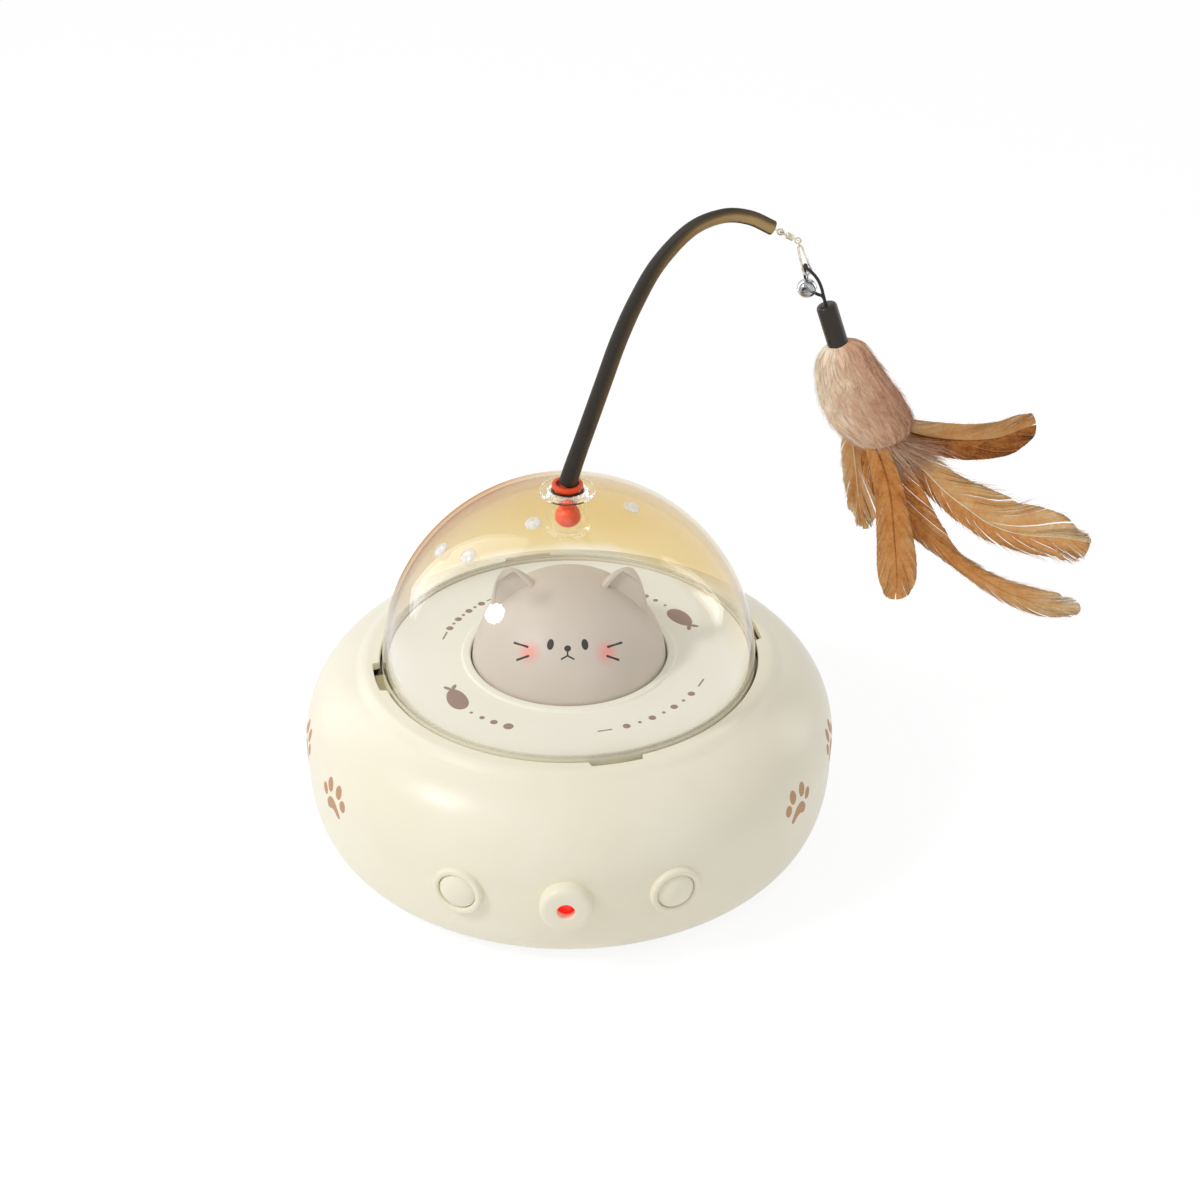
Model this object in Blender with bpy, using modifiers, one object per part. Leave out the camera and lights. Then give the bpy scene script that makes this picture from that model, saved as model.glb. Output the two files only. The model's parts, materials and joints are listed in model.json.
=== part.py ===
"""A rotating feather cat toy, modelled piece by piece at its real size.

Metres, +Z up, the front with the buttons and the light spot at -Y. The origin is on the floor
under the middle of the round casing.
"""
import math

import bmesh
import bpy
from mathutils import Matrix, Vector

# Clearances shared by all pieces
GAP = 0.0003            # between pieces that rest on or fit into each other
SINK = 0.0006           # how far two joined shapes reach into each other
OVERRUN = 0.002         # how far a cutter runs past the face it cuts

# Directions round the casing, in degrees from +X
FRONT_ANGLE = 270.0
REAR_ANGLE = 90.0
BUTTON_SPREAD = 22.0    # each button from the front
LUG_ANGLE = 284.0       # the front one of the four lugs and notches
MOTOR_ANGLE = 135.0
CHASSIS_SCREW_ANGLE = 90.0
HEAD_SCREW_ANGLE = 0.0

# Casing
BASE_RADIUS = 0.100
BASE_WALL = 0.0025
BASE_UNDERSIDE = 0.001
WIDEST_HEIGHT = 0.0377
RIM_HEIGHT = 0.0698
FLAT_RADIUS = 0.0778    # where the side meets the flat underside
CROWN_RADIUS = 0.064    # where the upper curve would run level
UPPER_POWER = 2.1
LOWER_POWER = 3.3
UPPER_STEPS = 7
LOWER_STEPS = 5
INNER_STEPS = 3
RECESS_RADIUS = 0.0708
COLLAR_WIDTH = 0.0052   # level part of the soft ridge round the recess
COLLAR_SLOPE = 0.0036
COLLAR_EDGE = 0.0006
LIP_THICKNESS = 0.003
CHANNEL_RADIUS = 0.0745
FLOOR_TOP = 0.0525
FLOOR_INNER_RADIUS = 0.058
NOTCH_COUNT = 4
NOTCH_HALF_ANGLE = 7.5
NOTCH_DEPTH = 0.0026

# Turntable
DISC_RADIUS = 0.0677
DISC_TOP = 0.0695
DISC_THICKNESS = 0.002
DISC_HOLE_RADIUS = 0.0369
DISC_LIP_WIDTH = 0.003
DISC_LIP_RISE = 0.0008
SKIRT_WALL = 0.0015
FLANGE_RADIUS = 0.0723
FLANGE_TOP = 0.060
FLANGE_THICKNESS = 0.002
SLEEVE_WALL = 0.002
WEB_TOP = 0.0609
WEB_THICKNESS = 0.002
HUB_WALL = 0.003
HUB_RISE = 0.0006
KEY_WIDTH = 0.004
KEY_HEIGHT = 0.002

# Gears
GEAR_MODULE = 0.002
RING_TEETH = 48
PINION_TEETH = 12
PRESSURE_ANGLE = 20.0
GEAR_PLAY = 0.0003
GEAR_TOP = 0.0582
GEAR_HEIGHT = 0.005
PINION_TIP_RISE = 0.0015
PINION_ROOT_DROP = 0.002
RING_TIP_DROP = 0.0011
RING_ROOT_RISE = 0.0023
RING_WALL = 0.0042
RING_TUBE_WALL = 0.0035
PINION_INSET = 0.0004   # the pinion is this much shorter than the ring at each end
PINION_HUB_RADIUS = 0.005
PINION_HUB_HEIGHT = 0.0014
SHAFT_RADIUS = 0.0025
SHAFT_LENGTH = 0.018

# Chassis and bearing post
CHASSIS_RADIUS = 0.0645
CHASSIS_THICKNESS = 0.0025
POST_RADIUS = 0.0156
POST_BORE = 0.009
POST_TOP = 0.062
SEAT_RADIUS = 0.0225
SEAT_HEIGHT = 0.0030
WASHER_THICKNESS = 0.001
BEARING_CLEARANCE = 0.0004
CHASSIS_SCREW_CIRCLE = 0.061
CHASSIS_SCREW_COUNT = 3
CHASSIS_BOSS_RADIUS = 0.0032
CHASSIS_BOSS_HEIGHT = 0.0045

# Screws
SCREW_RADIUS = 0.0012
SCREW_HEAD_RADIUS = 0.0026
SCREW_HEAD_HEIGHT = 0.0014
CHASSIS_SCREW_LENGTH = 0.0085
COVER_SCREW_LENGTH = 0.010
HEAD_SCREW_LENGTH = 0.009
MOTOR_SCREW_LENGTH = 0.007

# Cat head
HEAD_RADIUS = 0.0365
HEAD_CENTRE_HEIGHT = 0.0652
HEAD_WALL = 0.0022
HEAD_BOTTOM = 0.0621
HEAD_STEPS = 7
HEAD_INNER_STEPS = 4
EAR_TIP_SIDE = 0.0236
EAR_TIP_HEIGHT = 0.1052
EAR_INNER_SIDE = 0.0096
EAR_OUTER_SIDE = 0.0300
EAR_THICKNESS = 0.0100
EAR_REACH = 0.0045      # how far the ear's root is sunk below the head's surface
EAR_FRONT_SHARE = 0.35  # how much of the ear's thickness lies in front of the head's middle
EAR_BACK_SHARE = 0.6    # width of the ear's back, in widths of its front
# Along the ear from its root to its tip: place, width and thickness
EAR_SHARES = [(0.0, 1.0, 1.0), (0.4, 0.78, 0.68), (0.7, 0.5, 0.42), (0.9, 0.24, 0.26), (1.0, 0.07, 0.16)]
CARRIER_THICKNESS = 0.002
HEAD_SCREW_CIRCLE = 0.0123

# Dome and socket
DOME_RADIUS = 0.0699
DOME_CENTRE_HEIGHT = 0.0671
DOME_WALL = 0.0016
DOME_STEPS = 7
LUG_REACH = 0.0031
LUG_HALF_ANGLE = 5.5
LUG_HEIGHT = 0.0048
SOCKET_RADIUS = 0.0078
SOCKET_BORE = 0.0051
SOCKET_MOUTH_RADIUS = 0.0066
SOCKET_MOUTH_DEPTH = 0.0025
SOCKET_TOP = 0.1391
SOCKET_FLOOR_TOP = 0.1230
SOCKET_FLOOR = 0.002
SOCKET_FLANGE_RADIUS = 0.0100
SOCKET_FLANGE_THICKNESS = 0.0021
SOCKET_ROUNDING = 0.0016

# Plug and wand
PLUG_FLANGE_RADIUS = 0.00565
PLUG_FLANGE_THICKNESS = 0.0018
PLUG_BULGE_RADIUS = 0.00415
PLUG_WAIST_RADIUS = 0.0028
PLUG_BALL_RADIUS = 0.0047
# The ball's outline from the waist down: radius and depth below its middle, in ball radii
PLUG_BALL_SHARES = [(0.85, -0.5), (1.0, 0.0), (0.75, 0.55), (0.0, 0.75)]
PLUG_BULGE_DEPTH = 0.0040   # each depth is measured down from the flange
PLUG_WAIST_DEPTH = 0.0078
PLUG_BALL_DEPTH = 0.0111
PLUG_HOLE_RADIUS = 0.00435
PLUG_HOLE_DEPTH = 0.0016
SEAL_RADIUS = 0.0053
SEAL_THICKNESS = 0.0007
WAND_RADIUS = 0.0030
WAND_STEPS = 24
WAND_REACH = 0.0694         # from the dome's axis to the wand's tip
WAND_RISE = 0.0962          # from the wand's foot to its tip
WAND_FOOT_SHARE = 0.386     # the foot's height above the plug's floor, in wand radii
# The bent wand's route in the X-Z plane, from the plug outwards
WAND_ROUTE_SHARES = [
    (0.0, 0.0), (0.04, 0.095), (0.115, 0.26), (0.187, 0.42), (0.26, 0.58), (0.345, 0.73),
    (0.45, 0.872), (0.6, 0.995), (0.75, 1.045), (0.88, 1.04), (1.0, 1.0),
]

# Swivel and snap at the wand's tip
WIRE_RADIUS = 0.0003
EYE_RADIUS = 0.0010
WIRE_REACH = 0.0012         # straight wire between the tube's end and its eye
BARREL_RADIUS = 0.0011
BARREL_LENGTH = 0.0027
BARREL_NECK = 0.0005        # from an eye's centre line to the barrel
STEM_RADIUS = 0.00035
STEM_HOLE_RADIUS = 0.00065
STEM_HOLE_DEPTH = 0.0012
SNAP_LENGTH = 0.0113        # from the swivel's eye to the centre of the snap's lower bend
SNAP_LEAN = 19.0            # degrees from straight down
SNAP_BEND_RADIUS = 0.0014
SNAP_TOP_RADIUS = 0.0007
BELL_RADIUS = 0.0035
BELL_WALL = 0.0005
BELL_SLIT = 0.0008
BELL_LEAN = 1.7
BELL_SLIT_SHARE = 0.8        # the slit's middle below the bell's centre, in bell radii

# Lure
LOOP_RADIUS = 0.00055
LOOP_STEPS = 30
LOOP_SEAT_SHARES = (-0.36, 1.14)    # the loop's crown, from the bend's centre, in bend radii
LOOP_DROP = 0.0137                  # from the crown to the ferrule's top
LOOP_OFFSET = 0.0074
LOOP_END_SPREAD = 0.0008
# The elastic loop's route from the ferrule, through the snap and back behind the bell
LOOP_ROUTE_SHARES = [
    (0.5, -0.07, -0.87), (0.45, -0.1, -0.7), (0.39, -0.12, -0.5), (0.28, -0.13, -0.28),
    (0.13, -0.14, -0.1), (0.02, -0.1, -0.02), (0.0, 0.0, 0.02), (-0.02, 0.1, -0.02),
    (-0.09, 0.21, -0.17), (-0.11, 0.32, -0.41), (-0.04, 0.37, -0.61), (0.13, 0.33, -0.77),
    (0.34, 0.22, -0.83), (0.47, 0.1, -0.85),
]
FERRULE_LENGTH = 0.0162
FERRULE_LEAN = 19.1
FERRULE_RADIUS = 0.0036
FERRULE_ROUNDING = 0.0022
FLUFF_DROP = 0.040
FLUFF_HALF_WIDTH = 0.0140
FLUFF_HALF_DEPTH = 0.0090
FLUFF_SIDES = 14
# Each section of the fluff: across and down from the ferrule's end, half width and half depth
FLUFF_SHARES = [
    (0.0, 0.0, 0.24, 0.33), (0.03, 0.08, 0.6, 0.66), (0.08, 0.24, 0.79, 0.88), (0.17, 0.44, 0.93, 1.0),
    (0.29, 0.65, 1.0, 0.95), (0.42, 0.84, 0.89, 0.78), (0.5, 0.98, 0.57, 0.5),
]
FEATHER_THICKNESS = 0.0008
FEATHER_EDGE = 0.0003
FEATHER_SPACING = 0.0016    # between neighbouring feathers' planes in the fluff
FEATHER_REACH = 0.0940      # farthest feather, across from the ferrule's end
FEATHER_DROP = 0.1060       # farthest feather, down from the ferrule's end
VANE_WIDTH = 0.0100
FEATHER_BEND = 0.0150
# Each feather's place in the stack, the middle one being 0
FEATHER_LEVELS = {"feather_top": 1, "feather_wide": 0, "feather_long": -1, "feather_drooping": -2,
                  "feather_short": 2}
# Each feather's sections: across, down, half width above the shaft and below it, and bend to +Y
FEATHER_SHARES = {
    "feather_top": [
        (0.072, 0.147, 0.08, 0.08, 0.0), (0.133, 0.227, 0.12, 0.12, 0.0), (0.233, 0.298, 0.45, 0.45, 0.0),
        (0.355, 0.343, 0.68, 0.58, 0.07), (0.51, 0.367, 0.78, 0.78, 0.2), (0.638, 0.372, 0.86, 0.84, 0.4),
        (0.723, 0.361, 0.72, 0.76, 0.53), (0.777, 0.35, 0.4, 0.45, 0.6),
    ],
    "feather_wide": [
        (0.06, 0.15, 0.08, 0.08, 0.0), (0.16, 0.28, 0.12, 0.12, 0.0), (0.23, 0.355, 0.4, 0.35, 0.0),
        (0.32, 0.425, 0.6, 0.45, 0.0), (0.436, 0.525, 0.85, 0.55, -0.13), (0.521, 0.579, 1.08, 0.6, -0.27),
        (0.606, 0.628, 1.25, 0.6, -0.4), (0.69, 0.652, 1.22, 0.62, -0.53), (0.774, 0.656, 0.98, 0.74, -0.67),
        (0.867, 0.65, 0.5, 0.85, -0.8), (0.962, 0.659, 0.15, 0.9, -0.87),
    ],
    "feather_long": [
        (0.048, 0.153, 0.08, 0.08, 0.0), (0.118, 0.302, 0.12, 0.12, 0.0), (0.187, 0.412, 0.5, 0.4, 0.0),
        (0.265, 0.551, 0.68, 0.5, -0.07), (0.381, 0.68, 0.62, 0.45, -0.2), (0.513, 0.778, 0.3, 0.3, -0.4),
        (0.664, 0.859, 0.45, 0.42, -0.6), (0.794, 0.896, 0.56, 0.52, -0.8), (0.877, 0.904, 0.5, 0.5, -0.93),
        (0.942, 0.903, 0.22, 0.26, -1.0),
    ],
    "feather_drooping": [
        (0.035, 0.155, 0.08, 0.08, 0.0), (0.095, 0.255, 0.12, 0.12, 0.0), (0.163, 0.359, 0.38, 0.38, -0.07),
        (0.219, 0.498, 0.5, 0.55, -0.2), (0.244, 0.641, 0.66, 0.64, -0.4), (0.258, 0.742, 0.74, 0.74, -0.6),
        (0.264, 0.81, 0.68, 0.66, -0.73), (0.262, 0.843, 0.4, 0.4, -0.8),
    ],
    "feather_short": [
        (0.035, 0.195, 0.08, 0.08, 0.0), (0.065, 0.265, 0.12, 0.12, 0.0), (0.085, 0.376, 0.4, 0.4, 0.0),
        (0.108, 0.496, 0.46, 0.44, 0.13), (0.131, 0.618, 0.46, 0.44, 0.27), (0.155, 0.719, 0.2, 0.22, 0.4),
    ],
}
# Twist of each feather's vane at its tip, in degrees
FEATHER_TWISTS = {"feather_top": 16.0, "feather_wide": -16.0, "feather_long": 26.0,
                  "feather_drooping": -12.0, "feather_short": 12.0}

# Buttons
FRONT_HEIGHT = 0.0315   # height of the buttons' and the light spot's axes
BEZEL_RADIUS = 0.0093
BEZEL_BORE = 0.0070
BEZEL_RISE = 0.0017
BEZEL_STEM_RADIUS = 0.0082
BEZEL_STEM_LENGTH = 0.0064
BEZEL_ROUNDING = 0.0006
CAP_RADIUS = 0.0067
CAP_RISE = 0.0030
CAP_EDGE_RISE = 0.0012
# The cap's crown: radius in cap radii, and fall from the crown in shares of the crown's height
CAP_CROWN_SHARES = [(0.0, 0.0), (0.5, 0.25), (0.85, 0.65)]
CAP_FLANGE_RADIUS = 0.0079
CAP_FLANGE_THICKNESS = 0.0012
CAP_STEM_RADIUS = 0.0020
CAP_STEM_LENGTH = 0.0024
PRESS_CLEARANCE = 0.0010
SWITCH_SIZE = 0.006
SWITCH_THICKNESS = 0.0035
SWITCH_STEM_RADIUS = 0.0017
SWITCH_STEM_RISE = 0.0010
SWITCH_BOARD_LENGTH = 0.0260
SWITCH_BOARD_WIDTH = 0.0100
SWITCH_BOARD_THICKNESS = 0.0016
SWITCH_POST_RADIUS = 0.0018
SWITCH_POST_OFFSET = 0.0106

# Light spot
BOSS_RADIUS = 0.00925
BOSS_RISE = 0.0050
BOSS_ROUNDING = 0.0020
BOSS_BORE = 0.00385
BOSS_BORE_DEPTH = 0.0037
BOSS_STEM_RADIUS = 0.0077
BOSS_STEM_LENGTH = 0.0062
LASER_RADIUS = 0.0030
LASER_LENGTH = 0.0130
LENS_THICKNESS = 0.0008

# Bottom cover and what stands on it
COVER_THICKNESS = 0.0025
COLUMN_SETBACK = 0.0073     # the columns' circle, inside the flat underside's edge
COLUMN_RADIUS = 0.0040
COLUMN_COUNT = 4
COLUMN_HOLE_DEPTH = 0.011
WELL_RADIUS = 0.0032
WELL_DEPTH = 0.0016
FOOT_SETBACK = 0.0178       # the feet's circle, inside the same edge
FOOT_RADIUS = 0.0060
FOOT_RECESS = 0.0015
CELL_RADIUS = 0.0092
CELL_LENGTH = 0.065
CELL_SIDE = -0.030          # the cell lies along X at this Y
CELL_RISE = 0.0130          # its axis above the cover
CELL_BUTTON_RADIUS = 0.0028
CELL_BUTTON_HEIGHT = 0.0012
CRADLE_WALL = 0.0020
CRADLE_HEIGHT = 0.0125
BOARD_LENGTH = 0.042
BOARD_THICKNESS = 0.0016
BOARD_HEIGHT = 0.0200
BOARD_SETBACK = 0.0075       # the board's rear edge, inside the casing's widest radius
BOARD_POST_RADIUS = 0.0028
BOARD_PEG_RADIUS = 0.0012
BOARD_POST_INSET = 0.0045
BOARD_POST_SETBACK = 0.0088  # the rear posts, inside the flat underside's edge
BOARD_POST_SPACING = 0.0115
USB_WIDTH = 0.0090
USB_HEIGHT = 0.0032
USB_LENGTH = 0.0075
USB_WALL = 0.0004
USB_SETBACK = 0.0014        # the port's mouth, inside the casing's widest radius
USB_TONGUE = 0.0007
USB_TONGUE_SHARE = 0.75     # the tongue's width, in widths of the mouth

# Gear motor
MOTOR_CIRCLE = GEAR_MODULE * (RING_TEETH - PINION_TEETH) / 2
GEARBOX_LENGTH = 0.034
GEARBOX_WIDTH = 0.024
GEARBOX_HEIGHT = 0.018
GEARBOX_SHIFT = 0.006       # the box's middle is this much nearer the casing's axis than its shaft
MOTOR_RADIUS = 0.0100
MOTOR_LENGTH = 0.0190
MOTOR_NOSE_RADIUS = 0.0030
MOTOR_NOSE_HEIGHT = 0.0010
MOTOR_SCREW_OFFSET = 0.0085

# Battery leads: routes from the cell's end to the control board
LEAD_RADIUS = 0.0008
LEAD_STEPS = 22
LEAD_SPACING = 0.0060
LEAD_ROUTE = [
    (0.0300, -0.0280, 0.0268), (0.0330, -0.0220, 0.0290), (0.0370, -0.0100, 0.0270),
    (0.0360, 0.0100, 0.0240), (0.0300, 0.0300, 0.0240), (0.0215, 0.0440, 0.0250),
    (0.0150, 0.0520, 0.0240), (0.0140, 0.0545, 0.0228),
]

# Facets
LARGE_SIDES = 40
HEAD_SIDES = 32
MEDIUM_SIDES = 20
SMALL_SIDES = 12
TINY_SIDES = 6
WIRE_STEPS = 12
WELD = 0.000001
ROUTE_FINENESS = 20
HALF_TURN_STEPS = 6
BELL_STEPS = 8
SHARP_ANGLE = 35.0

# Sizes that follow from those above
CASING_INNER_FLOOR = BASE_UNDERSIDE + COVER_THICKNESS
FLOOR_UNDERSIDE = FLOOR_TOP - BASE_WALL
CHASSIS_TOP = FLOOR_UNDERSIDE - GAP
CHASSIS_UNDERSIDE = CHASSIS_TOP - CHASSIS_THICKNESS
WASHER_LOW = CHASSIS_TOP + SEAT_HEIGHT + GAP
HUB_BOTTOM = WASHER_LOW + WASHER_THICKNESS + GAP
HUB_BORE = POST_RADIUS + BEARING_CLEARANCE
CARRIER_LOW = POST_TOP + GAP
FLANGE_BOTTOM = FLANGE_TOP - FLANGE_THICKNESS
DOME_BOTTOM = FLANGE_TOP + GAP
LIP_UNDERSIDE = RIM_HEIGHT - LIP_THICKNESS
LUG_TOP = LIP_UNDERSIDE - BEARING_CLEARANCE
PLUG_FLANGE_LOW = SOCKET_TOP + GAP
GEAR_LOW = GEAR_TOP - GEAR_HEIGHT
COVER_TOP = CASING_INNER_FLOOR
CELL_HEIGHT = COVER_TOP + CELL_RISE
COLUMN_CIRCLE = FLAT_RADIUS - COLUMN_SETBACK
FOOT_CIRCLE = FLAT_RADIUS - FOOT_SETBACK
BOARD_REAR = BASE_RADIUS - BOARD_SETBACK
BOARD_POST_REAR = FLAT_RADIUS - BOARD_POST_SETBACK
BOARD_FRONT = BOARD_POST_REAR - BOARD_POST_SPACING - BOARD_POST_INSET
USB_REACH = BASE_RADIUS - USB_SETBACK


def start_scene():
    """Empty the scene and make the two collections, one for the toy and one for its cutters."""
    for obj in list(bpy.data.objects):
        bpy.data.objects.remove(obj, do_unlink=True)
    for name in ("feather_cat_toy", "cutters"):
        collection = bpy.data.collections.new(name)
        bpy.context.scene.collection.children.link(collection)


def material(name, colour, roughness, metallic=0.0, alpha=1.0):
    """One Principled material, made once and found by its name after that."""
    found = bpy.data.materials.get(name)
    if found:
        return found
    made = bpy.data.materials.new(name)
    made.use_nodes = True
    shader = made.node_tree.nodes["Principled BSDF"]
    shader.inputs["Base Color"].default_value = (*colour, 1.0)
    shader.inputs["Roughness"].default_value = roughness
    shader.inputs["Metallic"].default_value = metallic
    shader.inputs["Alpha"].default_value = alpha
    return made


def cream():
    return material("cream_plastic", (0.87, 0.83, 0.72), 0.45)


def disc_plastic():
    return material("disc_plastic", (0.80, 0.77, 0.68), 0.50)


def head_plastic():
    return material("head_plastic", (0.62, 0.54, 0.47), 0.50)


def clear():
    return material("clear_plastic", (0.95, 0.95, 0.93), 0.05, alpha=0.3)


def orange():
    return material("orange_rubber", (0.85, 0.16, 0.05), 0.45)


def black():
    return material("black_rubber", (0.025, 0.022, 0.02), 0.55)


def steel():
    return material("steel", (0.70, 0.69, 0.67), 0.25, metallic=1.0)


def dark_plastic():
    return material("dark_plastic", (0.06, 0.06, 0.065), 0.45)


def white_plastic():
    return material("white_plastic", (0.82, 0.82, 0.80), 0.45)


def grey_rubber():
    return material("grey_rubber", (0.35, 0.34, 0.33), 0.7)


def red_lens():
    return material("red_lens", (0.85, 0.01, 0.01), 0.1)


def board_green():
    return material("board_green", (0.03, 0.22, 0.10), 0.4)


def brass():
    return material("brass", (0.75, 0.55, 0.25), 0.3, metallic=1.0)


def cell_blue():
    return material("cell_wrap", (0.08, 0.20, 0.45), 0.35)


def fluff_colour():
    return material("fluff", (0.76, 0.58, 0.44), 0.9)


def feather_colour():
    return material("feather", (0.55, 0.30, 0.11), 0.8)


def empty_at(name, place, parent=None):
    """An empty on a joint's axis, which the moving pieces hang under."""
    axis = bpy.data.objects.new(name, None)
    axis.location = place
    bpy.data.collections["feather_cat_toy"].objects.link(axis)
    bpy.context.view_layer.update()
    if parent:
        attach(axis, parent)
    return axis


def attach(obj, parent):
    """Parent an object without moving it."""
    bpy.context.view_layer.update()
    obj.parent = parent
    obj.matrix_parent_inverse = parent.matrix_world.inverted()


def keep(obj, finish, parent):
    """Put a finished piece in the toy's collection, with its material and its parent."""
    for home in list(obj.users_collection):
        home.objects.unlink(obj)
    bpy.data.collections["feather_cat_toy"].objects.link(obj)
    obj.data.materials.clear()
    obj.data.materials.append(finish)
    if obj.type == "MESH":
        obj.data.shade_smooth()
        obj.data.set_sharp_from_angle(angle=math.radians(SHARP_ANGLE))
    attach(obj, parent)
    return obj


def hide_as_tool(obj):
    """A cutter or a shape to be joined: kept out of the renders and drawn as wire."""
    for home in list(obj.users_collection):
        home.objects.unlink(obj)
    bpy.data.collections["cutters"].objects.link(obj)
    obj.hide_render = True
    obj.display_type = "WIRE"
    return obj


def combine(target, tool, operation):
    """A Boolean of the tool with the target, kept as a modifier."""
    hide_as_tool(tool)
    modifier = target.modifiers.new(operation.lower(), "BOOLEAN")
    modifier.operation = operation
    modifier.object = tool
    modifier.solver = "EXACT"
    return target


def cut(target, tool):
    return combine(target, tool, "DIFFERENCE")


def join(target, tool):
    return combine(target, tool, "UNION")


def upright(x=0.0, y=0.0, z=0.0):
    return Matrix.Translation((x, y, z))


def on_circle(radius, degrees, height=0.0):
    angle = math.radians(degrees)
    return Vector((radius * math.cos(angle), radius * math.sin(angle), height))


def outward(degrees, height):
    """A frame on the casing's axis whose +Z points level outwards and whose +X points down."""
    turn = Matrix.Rotation(math.radians(degrees), 4, "Z")
    tip = Matrix.Rotation(math.radians(90.0), 4, "Y")
    return Matrix.Translation((0.0, 0.0, height)) @ turn @ tip


def along(start, direction):
    """A frame at a point whose +Z runs along a direction and whose +Y stays the world's."""
    z_axis = Vector(direction).normalized()
    y_axis = Vector((0.0, 1.0, 0.0))
    x_axis = y_axis.cross(z_axis).normalized()
    y_axis = z_axis.cross(x_axis)
    turned_frame = Matrix((x_axis, y_axis, z_axis)).transposed().to_4x4()
    return Matrix.Translation(start) @ turned_frame


def level_point(across, height):
    """A point of the X-Z plane in which the wand and the lure lie."""
    return Vector((across, 0.0, height))


def leaning(degrees):
    """The way down in that plane that leans outwards by some degrees."""
    angle = math.radians(degrees)
    return Vector((math.sin(angle), 0.0, -math.cos(angle)))


def across(way):
    """The direction in the X-Z plane square to a way."""
    return Vector((-way.z, 0.0, way.x))


def turned(name, profile, sides, frame=None, closed=True):
    """A turned piece: radius and height pairs, down the outer side, swept round by Screw."""
    mesh = bpy.data.meshes.new(name)
    points = [(radius, 0.0, height) for radius, height in profile]
    edges = [(i, i + 1) for i in range(len(points) - 1)]
    if closed:
        edges.append((len(points) - 1, 0))
    mesh.from_pydata(points, edges, [])
    obj = bpy.data.objects.new(name, mesh)
    bpy.context.scene.collection.objects.link(obj)
    if frame is not None:
        obj.matrix_world = frame
    screw = obj.modifiers.new("turn", "SCREW")
    screw.steps = sides
    screw.render_steps = sides
    screw.use_merge_vertices = True
    screw.merge_threshold = WELD
    return obj


def round_rod(name, radius, low, high, sides, frame=None):
    return turned(name, [(0.0, high), (radius, high), (radius, low), (0.0, low)], sides, frame, False)


def washer(name, inner, outer, low, high, sides, frame=None):
    return turned(name, [(inner, high), (outer, high), (outer, low), (inner, low)], sides, frame)


def primitives(name, shapes):
    """One object of several separate primitives, used to cut or join at several places at once.

    Each shape is ("rod", radius, low, high, sides, frame) or ("box", size, frame).
    """
    mesh_builder = bmesh.new()
    for shape in shapes:
        if shape[0] == "rod":
            _, radius, low, high, sides, frame = shape
            middle = Matrix.Translation((0.0, 0.0, (low + high) / 2))
            bmesh.ops.create_cone(mesh_builder, cap_ends=True, segments=sides, radius1=radius,
                                  radius2=radius, depth=high - low, matrix=frame @ middle)
        else:
            _, size, frame = shape
            scale = Matrix.Diagonal((*size, 1.0))
            bmesh.ops.create_cube(mesh_builder, size=1.0, matrix=frame @ scale)
    mesh = bpy.data.meshes.new(name)
    mesh_builder.to_mesh(mesh)
    mesh_builder.free()
    obj = bpy.data.objects.new(name, mesh)
    bpy.context.scene.collection.objects.link(obj)
    return obj


def curve_object(name, splines, cyclic, flat=False):
    """A curve of straight segments through the given points."""
    curve = bpy.data.curves.new(name, "CURVE")
    curve.dimensions = "2D" if flat else "3D"
    for points in splines:
        spline = curve.splines.new("POLY")
        spline.points.add(len(points) - 1)
        for target, point in zip(spline.points, points):
            target.co = (point[0], point[1], 0.0 if flat else point[2], 1.0)
        spline.use_cyclic_u = cyclic
    obj = bpy.data.objects.new(name, curve)
    bpy.context.scene.collection.objects.link(obj)
    return obj


def as_mesh(obj):
    """Turn a curve object into a mesh object with its caps welded on."""
    bpy.context.view_layer.update()
    evaluated = obj.evaluated_get(bpy.context.evaluated_depsgraph_get())
    mesh = bpy.data.meshes.new_from_object(evaluated)
    mesh_builder = bmesh.new()
    mesh_builder.from_mesh(mesh)
    bmesh.ops.remove_doubles(mesh_builder, verts=mesh_builder.verts, dist=WELD)
    mesh_builder.to_mesh(mesh)
    mesh_builder.free()
    name = obj.name
    made = bpy.data.objects.new(name + "_mesh", mesh)
    made.matrix_world = obj.matrix_world
    bpy.context.scene.collection.objects.link(made)
    bpy.data.objects.remove(obj, do_unlink=True)
    made.name = name
    return made


def tube(name, points, radius, resolution=2, cyclic=False):
    """A round wire or tube along the points."""
    obj = curve_object(name, [points], cyclic)
    obj.data.bevel_depth = radius
    obj.data.bevel_resolution = resolution
    obj.data.use_fill_caps = not cyclic
    return as_mesh(obj)


def flat_piece(name, outlines, low, high):
    """A flat piece between two heights: its outline, then the outlines of its holes."""
    obj = curve_object(name, outlines, True, flat=True)
    obj.data.fill_mode = "BOTH"
    obj.data.extrude = (high - low) / 2
    obj.location = (0.0, 0.0, (high + low) / 2)
    return as_mesh(obj)


def ring_points(radius, count):
    return [(radius * math.cos(2 * math.pi * i / count), radius * math.sin(2 * math.pi * i / count))
            for i in range(count)]


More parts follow.
